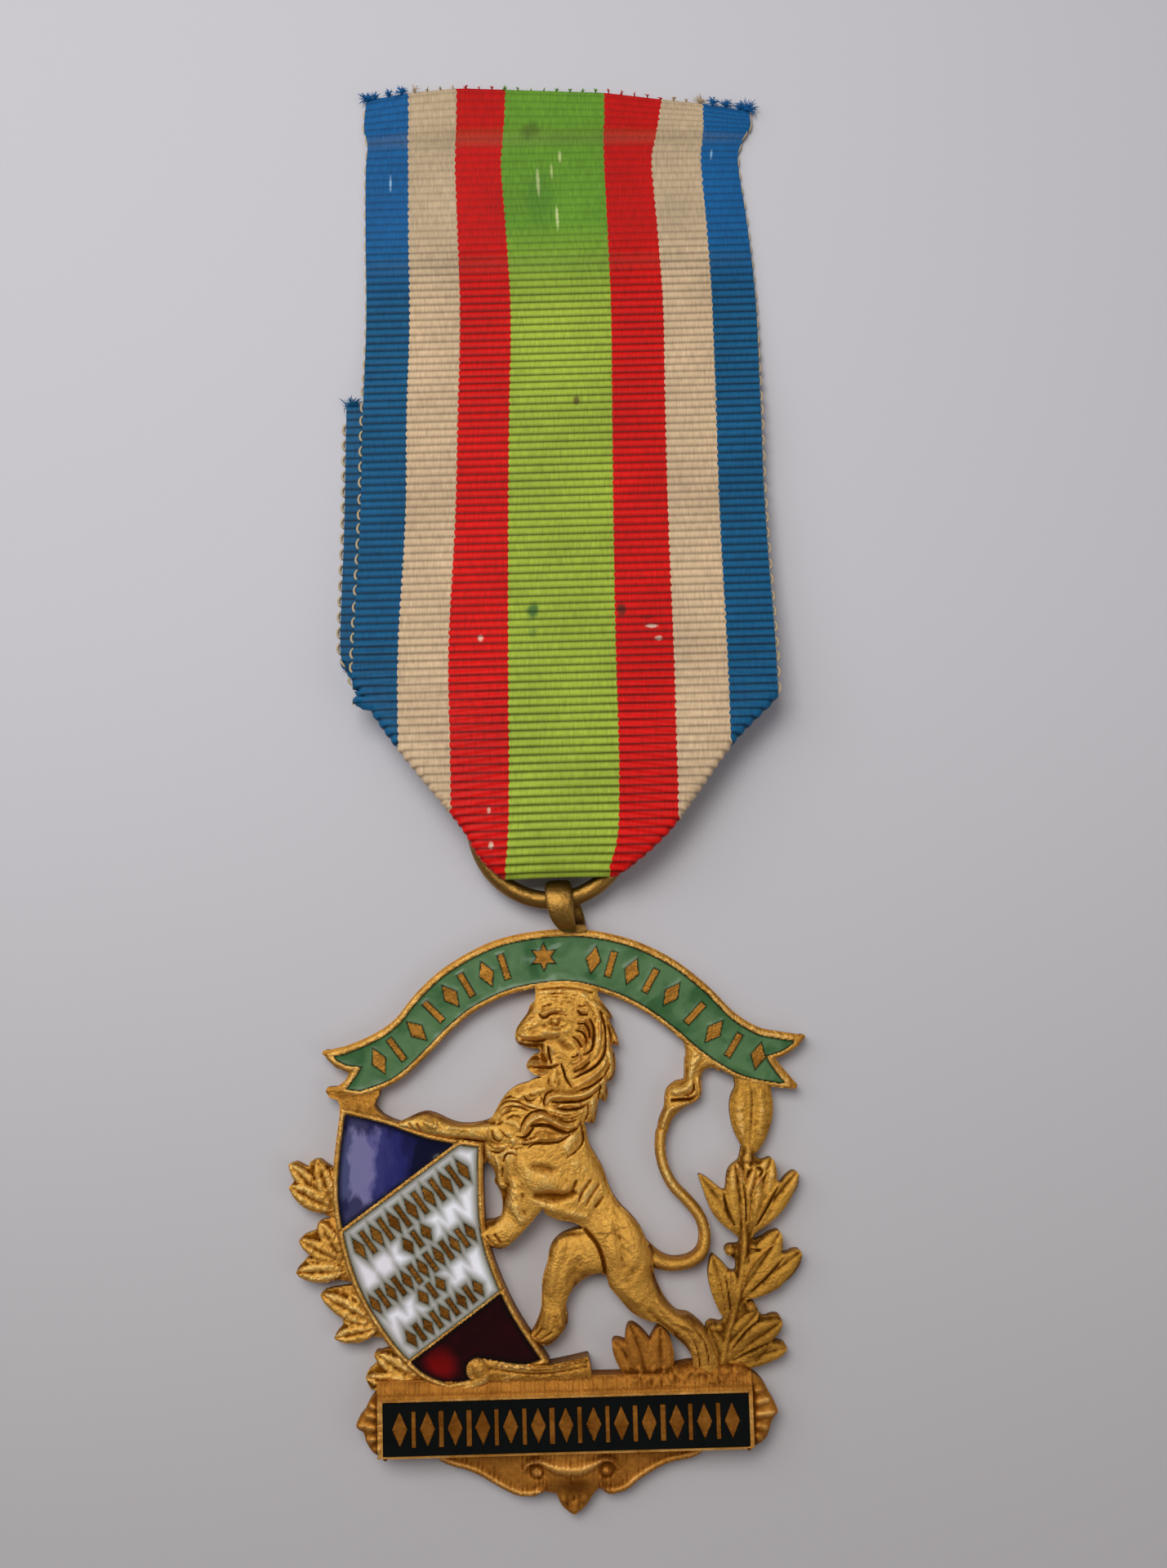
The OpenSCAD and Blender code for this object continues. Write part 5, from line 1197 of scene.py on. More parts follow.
# the laurel gets darker towards its foot: partly patina, partly painted shade of the light falling off
# towards the badge's foot
laurel_piece = laurel.mesh("laurel_branch", 0.06, stain_and_shade=-0.06 + 0.1 * smoothstep(-laurel.Y, 18, 31))
dress(laurel_piece, gilt_dull, "badge_body")

# %% Oak
OAK_OUTLINES = forms("""
-20.9 -17.3, -22 -16.6, -22.7 -16.8, -22.9 -17.25, -24 -16.75, -24.4 -17.2, -23.9 -17.95, -24.3 -18.9,
-23.2 -20.1, -21.4 -21.3, -19.8 -21.6, -19.6 -18;
-20.9 -21.6, -22 -21.9, -22.3 -22.6, -23.4 -23.05, -23.5 -23.7, -22.4 -24.3, -23.2 -25.1, -23.85 -25.9,
-22.8 -26.7, -20.6 -26.8, -18.4 -26.6, -19.2 -22;
-18.9 -27.3, -21 -27.55, -21.7 -27.95, -20.7 -29.2, -19.6 -30, -20.6 -31.3, -20.2 -31.85, -18.4 -31.6,
-15.6 -31.4, -16.4 -27.6;
-15.1 -32.6, -16.8 -32.9, -17.2 -33.9, -18 -34.7, -17.85 -35.7, -16.9 -36.2, -12.6 -36.3, -12.8 -34""")
OAK_LOBES = measures("""
# base x, y, tip x, y, half width, height
-20.4 -20.9 -20.9 -17.3 .55 1.75, -20.6 -20.9 -22.05 -16.55 .85 1.95, -20.8 -20.7 -24.5 -16.85 .8 1.8,
-20.7 -20.9 -24.45 -18.75 .95 1.95, -20 -25.2 -21.9 -21.85 .8 1.8, -19.9 -25.4 -23.65 -23.3 .8 1.9,
-19.8 -26.1 -23.95 -26.05 .85 2, -19.6 -26.2 -23.2 -25 .5 1.85, -17.2 -30.4 -19.4 -28 .75 1.75,
-17.2 -30.6 -21.85 -27.9 .85 1.9, -17 -31 -20.7 -31.6 .75 1.9, -17.3 -30.8 -20 -30.2 .5 1.8,
-13.4 -35.4 -15.2 -32.8 .8 1.75, -13.3 -35.6 -17.3 -32.95 .85 1.85, -13.2 -35.9 -18.05 -34.95 .8 1.95,
-13.4 -35.9 -17.4 -35.9 .5 1.85""")
OAK_STROKES = measures("""
-23.2 -19.4 1.1 30 -35 40 .6 .05, -22 -18.2 1 30 100 50 .6 .05, -23.4 -17.6 .8 18 140 40 .5 .05,
-21.6 -23.4 1.2 28 110 60 .6 .05, -22.6 -25.9 1.1 26 -5 40 .7 .05, -20.4 -25.6 .9 18 30 80 .5 .05,
-19.8 -29 1.2 26 150 40 .6 .05, -19 -31.2 1.1 22 -10 50 .6 .05, -16.4 -34.4 1.4 40 150 60 .6 .05""")
oak = Relief(-25.2, -11.6, -36.9, -15.8)
for outline in OAK_OUTLINES:
    oak.figure(outline, 1.15, 0.3, 0.4, steps=5, blend=0.03)
for row in OAK_LOBES:
    oak.leaf(row)
oak.strokes(OAK_STROKES, seed=8)
oak.grain(0.05, 0.3, 1.0, seed=13)
dress(oak.mesh("oak_branch", 0.08), gilt, "badge_body")

# %% [markdown]
# ## The base
# A raised plaque carries the black enamel. A sloping, brushed moulding runs along its top,
# shells close its ends, and blades of grass stand on it between the lion's feet. Under it hangs
# a crest of scrollwork with two volutes and a small drop of three lobes.

# %% Plaque tables
PLAQUE_FIELD = (-19.6, 17.6, -42.0, -30.6)
# middle x, y, width, height
PLAQUE_BOX = [-1.05, -38.75, 31.9, 5.2]
PLAQUE_ENAMEL = [-1.02, -38.98, 30.9, 4.3]
PLAQUE_HEIGHT = 2.9
# the moulding's lower edge
MOULDING_FOOT = -36.22
plaque_places = [(PLAQUE_ENAMEL[0] + k * 1.17, PLAQUE_ENAMEL[1], 0,
                  *((0.45, 3.0, True) if k % 2 else (1.35, 3.1, False))) for k in range(-12, 13)]
print("ornaments on the plaque", len(plaque_places))


def rectangle(relief, x, y, wide, high):
    """Depth inside an upright rectangle."""
    return np.minimum(wide / 2 - np.abs(relief.X - x), high / 2 - np.abs(relief.Y - y))


# %% Plaque and ground
plaque = Relief(*PLAQUE_FIELD)
box_edge = rectangle(plaque, *PLAQUE_BOX)
cell_edge = rectangle(plaque, *PLAQUE_ENAMEL)
plaque_marks = ornaments(plaque, plaque_places)
wall = smoothstep(cell_edge, -0.02, 0.08)
across = (0.24 - np.abs(cell_edge + 0.24)) / 0.24 - 1
frame_top = PLAQUE_HEIGHT + 0.05 * np.sqrt(np.clip(1 - across**2, 0, 1))
plaque_z = frame_top * (1 - wall) + (PLAQUE_HEIGHT - ENAMEL_DEEP) * wall
rise = smoothstep(plaque_marks, -0.08, 0.02)
plaque_z += (PLAQUE_HEIGHT + 0.02 - plaque_z) * rise
plaque.merge(box_edge, plaque_z, 0.02)
slope = rectangle(plaque, PLAQUE_BOX[0], -35.75, PLAQUE_BOX[2], 1.1)
plaque.merge(slope, 2.2 + 0.5 * np.clip(-35.25 - plaque.Y, 0, 1) ** 0.8, 0.02)
# fine brush lines, and the groove where the moulding meets the box
brushed = 0.022 * np.sin(2 * np.pi * plaque.X / 0.29) + 0.02 * np.sin(2 * np.pi * plaque.X / 0.41 + 2)
groove = 0.1 * np.exp(-(((plaque.Y - MOULDING_FOOT) / 0.07) ** 2))
plaque.top += (brushed - groove) * (plaque.Y > -36.85) * (plaque.depth > 0)
SHELLS = forms("""
-16.4 -35.9, -17.15 -36.2, -17.8 -36.9, -18.1 -37.6, -18.75 -38.4, -18.75 -38.95, -18.2 -39.4,
-17.95 -40.2, -17.5 -40.85, -16.9 -41.3, -16.2 -41.4;
14.3 -35, 15.3 -35.65, 15.95 -36.4, 16.4 -37.3, 16.85 -38.1, 16.95 -38.6, 16.55 -39.1,
16.25 -39.8, 16 -40.5, 15.5 -41, 14.9 -41.3, 14.2 -41.3""")
# the ridges across each shell: root x, y, tip x, y
SHELL_RIDGES = forms("""
-17.2 -37.2 -17.9 -36.9, -17.2 -38 -18.2 -37.7, -17.2 -38.9 -18.85 -38.7, -17.2 -39.8 -18.2 -39.9,
-17 -40.6 -17.6 -41;
15.2 -36.7 15.9 -36.4, 15.2 -37.7 16.5 -37.4, 15.2 -38.7 17 -38.6, 15.2 -39.6 16.3 -39.9,
15.1 -40.4 15.6 -41""")
for outline, ridges in zip(SHELLS, SHELL_RIDGES):
    plaque.figure(outline, 2.1, 0.35, 0.3, steps=4, blend=0.03)
    for ax, ay, bx, by in ridges:
        middle = [0.5 * (ax + bx), 0.5 * (ay + by), 0.42, 0.2]
        plaque.swell([[ax, ay, 0.45, 0.2], middle, [bx, by, 0.25, 0.08]])
GRASS = measures("""
# base x, y, tip x, y, half width, height, bend
5.6 -36.2 3.2 -32.4 1.05 1.9 .2, 6.6 -36.2 6.3 -32.7 .85 2 0, 6.1 -36.3 4.65 -31.1 1.2 2.1 .15,
7.2 -36.3 7.25 -31.35 1.15 2.1 -.05""")
for row in GRASS:
    plaque.leaf(row, edge=1.4)
GROUND = measures("""
4.6 -35.6 .35 1.8, 7 -35.4 .45 1.95, 9.5 -35.2 .75 2.2, 12 -35.3 .85 2.3, 14.3 -35.4 .7 2.1""")
plaque.form(GROUND, edge=1.4)
rng = np.random.default_rng(12)
for x in np.linspace(4.8, 14.3, 30):
    y, r = -35.4 + 0.9 * (rng.random() - 0.5), 0.16 + 0.16 * rng.random()
    plaque.swell([[x, y, r + 0.1, 0.2], [x + 0.3 * (rng.random() - 0.5), y + 0.5 * rng.random(), r, 0.22]])
plaque.strokes(measures("""
5.2 -34 1.4 30 105 30 .8 .04, 7.2 -34 1.2 26 90 20 .8 .04, -17.6 -38.6 1.2 20 20 60 .6 .05,
15.8 -38.6 1.2 20 -10 60 .6 .05"""), seed=10)
plaque.grain(0.02, 0.3, 1.4, seed=15)
# the ornaments in the black enamel are darker with dirt, and the moulding along the top is a little darker
plaque_darkening = np.where(plaque_marks > -0.05, 0.08, np.where(plaque.Y > -36.6, 0.02, OUTSIDE))
plaque_frame = plaque.mesh("plaque_frame", 0.1, stain_and_shade=plaque_darkening)
dress(plaque_frame, gilt_brushed, "badge_body")

black_enamel = enamel("black_vitreous_enamel", "#020303", "#050807", "#020302", 0.2, 0.14)
black_cell = np.minimum(cell_edge, -plaque_marks) + 0.02
pool(Relief(*PLAQUE_FIELD), "plaque_black_enamel", black_cell, PLAQUE_HEIGHT - 0.02, 0.1, 0.012, 31, 2.2,
     black_enamel, "plaque_enamel")

# %% Pendant
PENDANT_PLATE = measures("""
-12.3 -40.8, -12.2 -41.6, -11.3 -42.3, -9 -43.05, -7 -44.2, -5.4 -45, -4 -45.15, -3.1 -44.75,
-2.1 -44.9, -1.85 -45.3, -1.55 -45.95, -1.15 -46.35, -.6 -46.68, 0 -46.42, .6 -45.85, 1.1 -45.1,
1.7 -44.6, 2.4 -45.1, 3.9 -44.85, 5.4 -43.8, 7.5 -42.75, 9.7 -42.3, 10.8 -41.6, 11 -40.8""")
PENDANT_SOFT = forms("""
# where the two rims turn up
-3.6 -44.8 .2 .2, -3.1 -44.5 .2 .4, -2.95 -44 .18 .3, -3.05 -43.5 .15 .1;
2.4 -44.75 .2 .2, 1.9 -44.45 .2 .4, 1.75 -44 .18 .3, 1.8 -43.6 .15 .1;
# the band that runs over the left volute, sags and runs over the right one
-4.75 -43.1 .2 .2, -4.45 -42.55 .25 .4, -4 -42.3 .26 .44, -3.3 -42.25 .3 .4, -2.7 -42.5 .4 .34,
-2 -42.75 .55 .3, -1.2 -42.9 .65 .3, -.6 -42.95 .65 .3, .1 -42.9 .65 .3, .9 -42.7 .55 .3,
1.5 -42.45 .4 .34, 2 -42.25 .3 .4, 2.5 -42.25 .26 .44, 2.95 -42.5 .25 .4, 3.25 -43 .2 .2;
# a pin, and the three lobes of the drop
-.6 -43.6 .15 .12, -.6 -44 .14 .16;
-1.45 -44.95 .45 .1, -1.45 -45.5 .45 .32;
.35 -44.95 .4 .1, .35 -45.5 .42 .32;
-.5 -45.8 .4 .15, -.5 -46.35 .4 .28;
-.55 -44.9 .1 -.05, -.55 -45.55 .14 -.16""")
VOLUTES = [(-3.65, -43.2), (2.35, -43.2)]
pendant = Relief(-12.9, 11.6, -47.4, -40.4)
plate_edge = pendant.inside(curve(PENDANT_PLATE + [PENDANT_PLATE[0]], 4)[:-1])
brushed = 0.026 * np.sin(2 * np.pi * pendant.X / 0.34) + 0.02 * np.sin(2 * np.pi * pendant.X / 0.47 + 1)
pendant.merge(plate_edge, 1.35 + brushed, 0.02)
swollen = np.exp(-(((pendant.X + 0.8) / 2.6) ** 4) - (((pendant.Y + 42.6) / 2.2) ** 4))
pendant.top += 0.6 * swollen * (pendant.depth > 0)
wings = smoothstep(np.abs(pendant.X + 0.55), 2.6, 3.2) * smoothstep(-pendant.Y, 41.5, 41.8)
rims = smoothstep(plate_edge, 0.0, 0.15) * (1 - smoothstep(plate_edge, 0.38, 0.6)) * wings
pendant.top += 0.22 * rims
for rows in PENDANT_SOFT:
    pendant.swell(rows)
for x, y in VOLUTES:
    pendant.boss(x, y, 0.28, 0.36, 0.52, 0.13)
pendant.grain(0.02, 0.3, 1.4, seed=17)
# the plate, all but its rims and volutes, is darker, most in the middle between the volutes: partly patina,
# partly painted shade of the light falling off towards the badge's foot
field = np.exp(-(((pendant.X + 0.5) / 1.75) ** 4) - ((pendant.Y + 44.3) / 0.65) ** 4)
volutes = (np.abs(pendant.X + 0.65) < 4.4) & (pendant.Y > -43.4)
pendant_patina_and_shade = np.where((rims > 0.4) | volutes, OUTSIDE, 0.03 + 0.06 * field)
pendant_piece = pendant.mesh("pendant_scrollwork", 0.06, stain_and_shade=pendant_patina_and_shade)
dress(pendant_piece, gilt_brushed, "badge_body")

# %% [markdown]
# ## The eye
# A flat strip, soldered upright to the scroll's top edge and bent round the ring's wire. It is
# widest where it turns over the wire. The strip is a rounded rectangle carried along an oval,
# while it also drifts sideways, so its two ends lie side by side on the scroll.

# %% Eye
EYE_ROWS = measures("""
# angle round the oval, x of the middle, width
172 .3 1.35, 150 .1 1.7, 120 -.2 2.1, 80 -.4 2.4, 45 -.5 2.35, 10 -.5 2.15, -30 -.3 2, -70 .25 1.9,
-110 .8 1.7, -145 1.1 1.45, -175 1.2 1.35""")
EYE_CENTRE = [4.75, 2.05]
EYE_REACH = [1.99, 1.58]
EYE_THICK = 0.66


def eye_strip(rings=72, around=28):
    """Along the oval: y = cy + ry cos a, z = cz + rz sin a. Across: a superellipse of power 4."""
    s = curve(EYE_ROWS, 16)
    s = s[np.linspace(0, len(s) - 1, rings).astype(int)]
    a = np.radians(s[:, 0])[:, None]
    t = np.linspace(0, 2 * np.pi, around, endpoint=False)[None]
    wide = np.sign(np.cos(t)) * np.abs(np.cos(t)) ** 0.5 * s[:, 2:3] / 2
    thick = np.sign(np.sin(t)) * np.abs(np.sin(t)) ** 0.7 * EYE_THICK / 2 * (1 - 0.25 * (wide / 1.3) ** 2)
    out = np.stack([np.cos(a) / EYE_REACH[0], np.sin(a) / EYE_REACH[1]])
    out = out / np.sqrt((out**2).sum(axis=0))
    x = s[:, 1:2] + wide
    y = EYE_CENTRE[0] + EYE_REACH[0] * np.cos(a) + out[0] * thick
    z = EYE_CENTRE[1] + EYE_REACH[1] * np.sin(a) + out[1] * thick
    return np.stack([x, y, z], axis=-1).reshape(-1, 3), tube_faces(1, rings, around)


points, faces = eye_strip()
eye_piece = make_piece("eye_loop", points, faces, {"hollow_shade_and_dirt": np.zeros(len(points))}, sharp=40)
dress(eye_piece, gilt_ring, "badge_body")
ring_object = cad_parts["suspension_ring"]
ring_object.data.materials.clear()
ring_object.data.materials.append(gilt_ring)
print("the ring keeps its solid, with", len(ring_object.data.polygons), "faces")

# %% [markdown]
# ## The ribbon
# Ribbed silk, called grosgrain: fine warp threads cross thick weft cords, so ribs 0.73 mm apart
# run from edge to edge. The ribbon comes down in front, its sides are turned in behind along two
# slanting folds, it passes through the ring, and the rest of it lies behind. It is one sheet, so
# it is made as one surface: stations follow its length, and at each one a table says where the
# stripes' borders lie and where the edge is folded. What lies beyond the fold runs round a small
# half circle and back underneath.

# %% Ribbon tables
RIB = 0.73
CLOTH = 0.34
FOLD_RADIUS = 0.34
STRIPES = [0.0, 4.3, 8.9, 13.5, 23.0, 27.9, 32.7, 36.8]
# Borders of the stripes at stations of the front fall: y, then x of the eight borders
BORDERS = measures("""
82 -16.6 -12.7 -8.1 -3.5 5.75 11.1 14.9 19.2, 78.6 -16.9 -12.7 -8.2 -3.7 5.7 10.7 14.9 19.3,
76.6 -16.6 -12.8 -8.3 -3.9 5.6 10.3 14.8 18.5, 74 -16.8 -12.8 -8.4 -4.1 5.6 9.9 14.6 18,
68 -16.9 -12.9 -8.3 -3.8 5.7 10.2 14.9 18.6, 60 -16.9 -12.9 -8.2 -3.5 5.8 10.5 15.1 19.1,
50 -17.2 -13.2 -8.5 -3.8 5.6 10.3 15 19, 40 -17.5 -13.4 -8.9 -4.1 5.4 10.2 14.9 18.95,
28 -18.05 -14.1 -9.6 -4.3 5.2 10.2 14.95 19.2, 19 -18.1 -14.1 -9.6 -4.4 5.2 10.1 14.9 19.1,
15 -18.1 -14.1 -9.6 -4.5 5.1 10.1 14.8 19, 12 -18.1 -14 -9.6 -4.6 5 10 14.7 18.9,
10 -18.1 -14 -9.6 -4.75 4.7 9.9 14.6 18.8, 8 -18.1 -14 -9.6 -5 4.1 9.6 14.4 18.6""")
# The folded edges of the front fall: y, x on the left, x on the right
FRONT_FOLDS = measures("""
82 -30 30, 27.5 -19.5 21, 25.2 -18.1 20.2, 22.7 -16.6 19.1, 18.7 -13.9 15.1, 12.1 -8.8 10.1,
9.8 -7.5 7.9, 8.4 -6.5 6.2, 7.6 -5.6 5.1, 7.2 -5 4.4""")
# How far the cut end stands above or below a straight cut: x, rise
CUT_END = measures("""
-16.9 -.6, -12.7 .1, -8 .45, -3.4 .16, 5.8 -.4, 11.1 -1.2, 14.9 -1.7, 19.4 -2.6""")
# Side view of the outer layer, from the top of the front fall to the end of the back fall: y, z
SIDE = measures("""
81.5 .35, 74 .3, 66 .3, 57 .6, 50.5 1.5, 42 1.9, 34 2.6, 28 3.5, 24 4.1, 18 4.5, 12 4.55, 9.4 4.5,
8.1 4.3, 7.45 3.85, 7.5 3.35, 8.1 2.9, 8.55 2.3, 8.62 1.5, 8.9 .75, 9.7 .3, 12 .22, 20 .2, 30 .2,
40 .22, 51.2 .25""")
# The folded edges of the back fall: y, x on the left, x on the right
BACK_FOLDS = measures("""
8.5 -5 3.3, 9.7 -5.2 3.6, 14 -9.2 8.9, 19.6 -14.1 13.9, 27 -19.3 17.2, 28.5 -20.5 18.2, 40 -30 30,
52 -30 30""")
BACK_SHIFT = -1.7
print("stations of the ribbon's side view", len(SIDE))


# %% Ribbon surface


def table(rows, at, column):
    """A column of a table at other values of its first column, along a smooth curve through its rows."""
    rows = curve(rows, 8)
    order = np.argsort(rows[:, 0])
    return np.interp(at, rows[order, 0], rows[order, column])


def ribbon_path(rib_samples=5, back_samples=3):
    """Points along the outer layer's side view, a fifth of a rib apart in front and a third behind: the
    length so far, y, z, the direction away from the fold's inside, and the length where it turns back."""
    s = curve(SIDE, 40)
    length = np.concatenate([[0], np.cumsum(np.hypot(*np.diff(s, axis=0).T))])
    # turn_at is where the part under 1 mm high comes nearest to the badge, and the fold ends at y = 9.7
    turn_at = length[int(np.argmin(s[:, 0] + 100 * (s[:, 1] > 1.0)))]
    bight = length[np.argmin(np.abs(s[:, 0] - 9.7) + 100 * (s[:, 1] > 1.0))]
    front = np.arange(0, bight, RIB / rib_samples)
    back = np.arange(bight, length[-1], RIB / back_samples)
    along = np.concatenate([front, back, [length[-1]]])
    y = np.interp(along, length, s[:, 0])
    z = np.interp(along, length, s[:, 1])
    dy, dz = np.gradient(y, along), np.gradient(z, along)
    size = np.hypot(dy, dz)
    return along, y, z, dz / size, -dy / size, turn_at


along, path_y, path_z, out_y, out_z, turn_at = ribbon_path()
ribbon_length = float(along[-1])
print("ribbon length", round(ribbon_length, 1), "mm, rows", len(along))


def ribbon_sheet():
    """The sheet's middle surface. Across each station x runs from edge to edge, and a = fold + r - x is how
    far a point lies past the start of the roll. On the roll, x = fold + r - r sin(a / r), and it sinks by
    r (1 - cos(a / r)). Past it, x runs back under the middle at a depth of 2 r."""
    radius, roll = FOLD_RADIUS, math.pi * FOLD_RADIUS
    mix = smoothstep(along, turn_at - 1.5, turn_at + 3.0)
    shift = BACK_SHIFT * smoothstep(along, turn_at + 4, turn_at + 22)
    # columns: 9 on each flap behind, 8 on each roll, 27 between them
    grid = np.zeros((len(along), 61))
    even = np.linspace(0, 1, 9)
    sides = []
    # left, then right: the way inwards, the column of the edge's border and that of its fold
    for sign, border, column in ((1, 1, 1), (-1, 8, 2)):
        fold = table(FRONT_FOLDS, path_y, column) * (1 - mix) + table(BACK_FOLDS, path_y, column) * mix
        start = table(BORDERS, path_y, border) + shift
        over = np.clip(sign * (fold + sign * radius - start), 0, None)
        rolled = np.clip(over, 0, roll)
        flap = sign * (over - rolled)
        side = grid[:, ::sign]
        side[:, :9] = start[:, None] + flap[:, None] * even
        side[:, 9:17] = (start + flap)[:, None] + sign * np.maximum(rolled, 0.9)[:, None] * even[1:]
        sides.append((sign, fold, over))
    inner_l, inner_r = grid[:, 16:17], grid[:, 44:45]
    grid[:, 17:44] = inner_l + (inner_r - inner_l) * np.linspace(0, 1, 29)[1:-1]
    # a flat strip of no width gets a hair's breadth, so that no two columns fall together
    hair = 0.01 * np.arange(61)
    grid = np.maximum.accumulate(grid - hair, axis=1) + hair
    # the material's own coordinate across, from the borders' table
    borders = np.column_stack([table(BORDERS, path_y, k) for k in range(1, 9)])
    across = np.array([np.interp(u, b, STRIPES) for u, b in zip(grid - shift[:, None], borders)])
    middle = 0.5 * (sides[0][1] + sides[1][1])
    x, sink = grid, np.zeros_like(grid)
    for sign, fold, over in sides:
        turn = (fold + sign * radius)[:, None]
        a = sign * (turn - grid)
        # where the two flaps would meet behind, they are squeezed into the room there is
        room = np.clip(sign * (middle - fold) - radius - 0.15, 0.3, None)
        squeeze = np.minimum(1, room / np.maximum(over - roll, 1e-3))[:, None]
        on_roll, beyond = (a > 0) & (a <= roll), a > roll
        x = np.where(on_roll, turn - sign * radius * np.sin(a / radius), x)
        sink = np.where(on_roll, radius * (1 - np.cos(np.clip(a, 0, roll) / radius)), sink)
        x = np.where(beyond, turn + sign * (a - roll) * squeeze, x)
        sink = np.where(beyond, 2 * radius, sink)
    return x, sink, across, middle


sheet_x, sheet_sink, sheet_across, sheet_middle = ribbon_sheet()
print("columns", sheet_x.shape[1], "sheet points", sheet_x.size)

# %% Ribbon solid


def ribbon_points():
    """Heights of the middle surface and of the ribs. A rib stands 0.17 |cos|^0.8 of its place in the pitch,
    less near the top, where the ribbon is pressed flat. Ribs sag in the middle towards the fold."""
    rib_height = (0.02 + 0.15 * smoothstep(along, 14.0, 19.0))[:, None]
    spread = (sheet_x - sheet_middle[:, None]) / 9.0
    front = (along < turn_at)[:, None]
    past_fold = smoothstep(path_y, 30, 12)[:, None] * front
    lift = -0.95 * spread**2 * past_fold
    arch = 0.28 * np.exp(-((along - turn_at + 1.2) / 1.6) ** 2)[:, None] * (1 - spread**2 * 3)
    rise = np.interp(sheet_x, *np.array(CUT_END).T) * np.exp(-((along / 3.5) ** 1.3))[:, None]
    y = path_y[:, None] - sheet_sink * out_y[:, None] + rise * front
    z = path_z[:, None] - sheet_sink * out_z[:, None]
    # slow waves in the middle and along the right edge, and two creases across the top
    width = STRIPES[-1]
    wave = 0.12 * np.sin(2 * np.pi * along / 31 + 0.8)[:, None] * np.sin(np.pi * sheet_across / width)
    wave += 0.16 * np.sin(2 * np.pi * along / 19)[:, None] * np.exp(-(((sheet_across - width) / 7) ** 2))
    free = smoothstep(path_y, 28, 36)[:, None] * front * np.clip((path_z - 0.25) / 0.6, 0.25, 1)[:, None]
    creases = np.exp(-((along - 4.4) / 0.6) ** 2) + 0.5 * np.exp(-((along - 16.6) / 0.8) ** 2)
    z = z + np.abs(wave) * free + 0.14 * creases[:, None] * front
    phase = np.cos(np.pi * (along[:, None] + lift + arch) / RIB)
    return y, z, rib_height * np.abs(phase) ** 0.8


sheet_y, sheet_z, sheet_rib = ribbon_points()
middle_points = np.stack([sheet_x, sheet_y, sheet_z], axis=-1)
du = np.gradient(middle_points, axis=1)
dv = np.gradient(middle_points, axis=0)
normal = np.cross(dv, du)
normal /= np.maximum(np.linalg.norm(normal, axis=2, keepdims=True), 1e-9)
# the front fall's normals point up
normal *= np.sign(normal[10, 30, 2])
thin, rib = CLOTH / 2 - 0.05, sheet_rib[..., None]
outer = middle_points + normal * (thin + rib)
inner = middle_points - normal * (thin + 0.8 * rib)
rows_n, cols_n = sheet_x.shape
first = (np.arange(rows_n - 1)[:, None] * cols_n + np.arange(cols_n - 1)).reshape(-1)
quads = np.column_stack([first, first + cols_n, first + cols_n + 1, first + 1])
count = rows_n * cols_n
faces = [quads, quads[:, ::-1] + count]
rim_loops = [np.arange(cols_n), np.arange(1, rows_n + 1) * cols_n - 1,
             (rows_n - 1) * cols_n + np.arange(cols_n)[::-1], np.arange(rows_n)[::-1] * cols_n]
for loop in rim_loops:
    faces.append(np.column_stack([loop[:-1], loop[1:], loop[1:] + count, loop[:-1] + count]))
station = np.repeat(along[:, None], cols_n, axis=1)
material_uv = np.stack([sheet_across, station], axis=-1).reshape(-1, 2) / 100
points = np.vstack([outer.reshape(-1, 3), inner.reshape(-1, 3)])
points[:, 2] = np.maximum(points[:, 2], 0.01)
ribbon_cloth = make_piece("ribbon_cloth", points, faces, uv=np.vstack([material_uv, material_uv]))
print("ribbon rows", rows_n, "x", cols_n)

# %% [markdown]
# ### Silk in stripes
# The stripes are woven in: blue, cream, red, green, red, cream and blue. The material reads the
# ribbon's own coordinates, where one unit is 100 mm: the first runs across the threads, the
# second along them. Grooves between ribs are painted darker and crests lighter, as painted shade and
# highlight; warp threads about 0.2 mm apart break up the ribs' sheen, and old stains, darker bands
# along two creases, a pressed band and a few snags follow the real ribbon.

# %% Silk
# Stains and snags, and last two darker bands across the ribbon along its creases: x, y, half width, half
# height, strength, colour
MARKS = [
    (-2.1, 31.0, 0.5, 0.7, 0.8, "#1F5A32"), (-2.2, 28.9, 0.4, 0.5, 0.4, "#3B6A30"),
    (5.8, 30.8, 0.4, 0.6, 0.8, "#3A2A1C"), (2.3, 50.7, 0.3, 0.45, 0.8, "#5A4526"),
    (8.4, 29.2, 0.5, 0.2, 0.7, "#E7D9C4"), (9.0, 28.1, 0.3, 0.2, 0.7, "#E7D9C4"),
    (8.0, 30.1, 0.7, 0.25, 0.5, "#5A100C"), (-6.8, 28.5, 0.22, 0.3, 0.7, "#E3CDB4"),
    (-6.2, 10.0, 0.2, 0.3, 0.8, "#E3CDB4"), (-5.9, 8.2, 0.25, 0.2, 0.7, "#E3CDB4"),
    (-6.3, 13.1, 0.15, 0.25, 0.6, "#E3CDB4"), (-0.7, 72.5, 0.16, 1.3, 0.75, "#D2DC9A"),
    (1.0, 69.0, 0.14, 1.1, 0.75, "#D2DC9A"), (0.6, 73.4, 0.12, 0.7, 0.6, "#C9D48E"),
    (-1.3, 77.5, 0.9, 0.8, 0.6, "#41551C"), (15.6, 75.0, 0.12, 0.5, 0.6, "#8FB4D0"),
    (-14.5, 72.7, 0.12, 0.7, 0.6, "#8FB4D0"), (-0.5, 71.0, 1.3, 2.4, 0.3, "#3F7A2A"),
    (1.4, 75.0, 0.15, 0.6, 0.6, "#C9D48E"), (0.0, 77.0, 19.0, 0.9, 0.2, "#6B5D3A"),
    (0.0, 64.6, 19.0, 0.9, 0.12, "#4E4A32")]
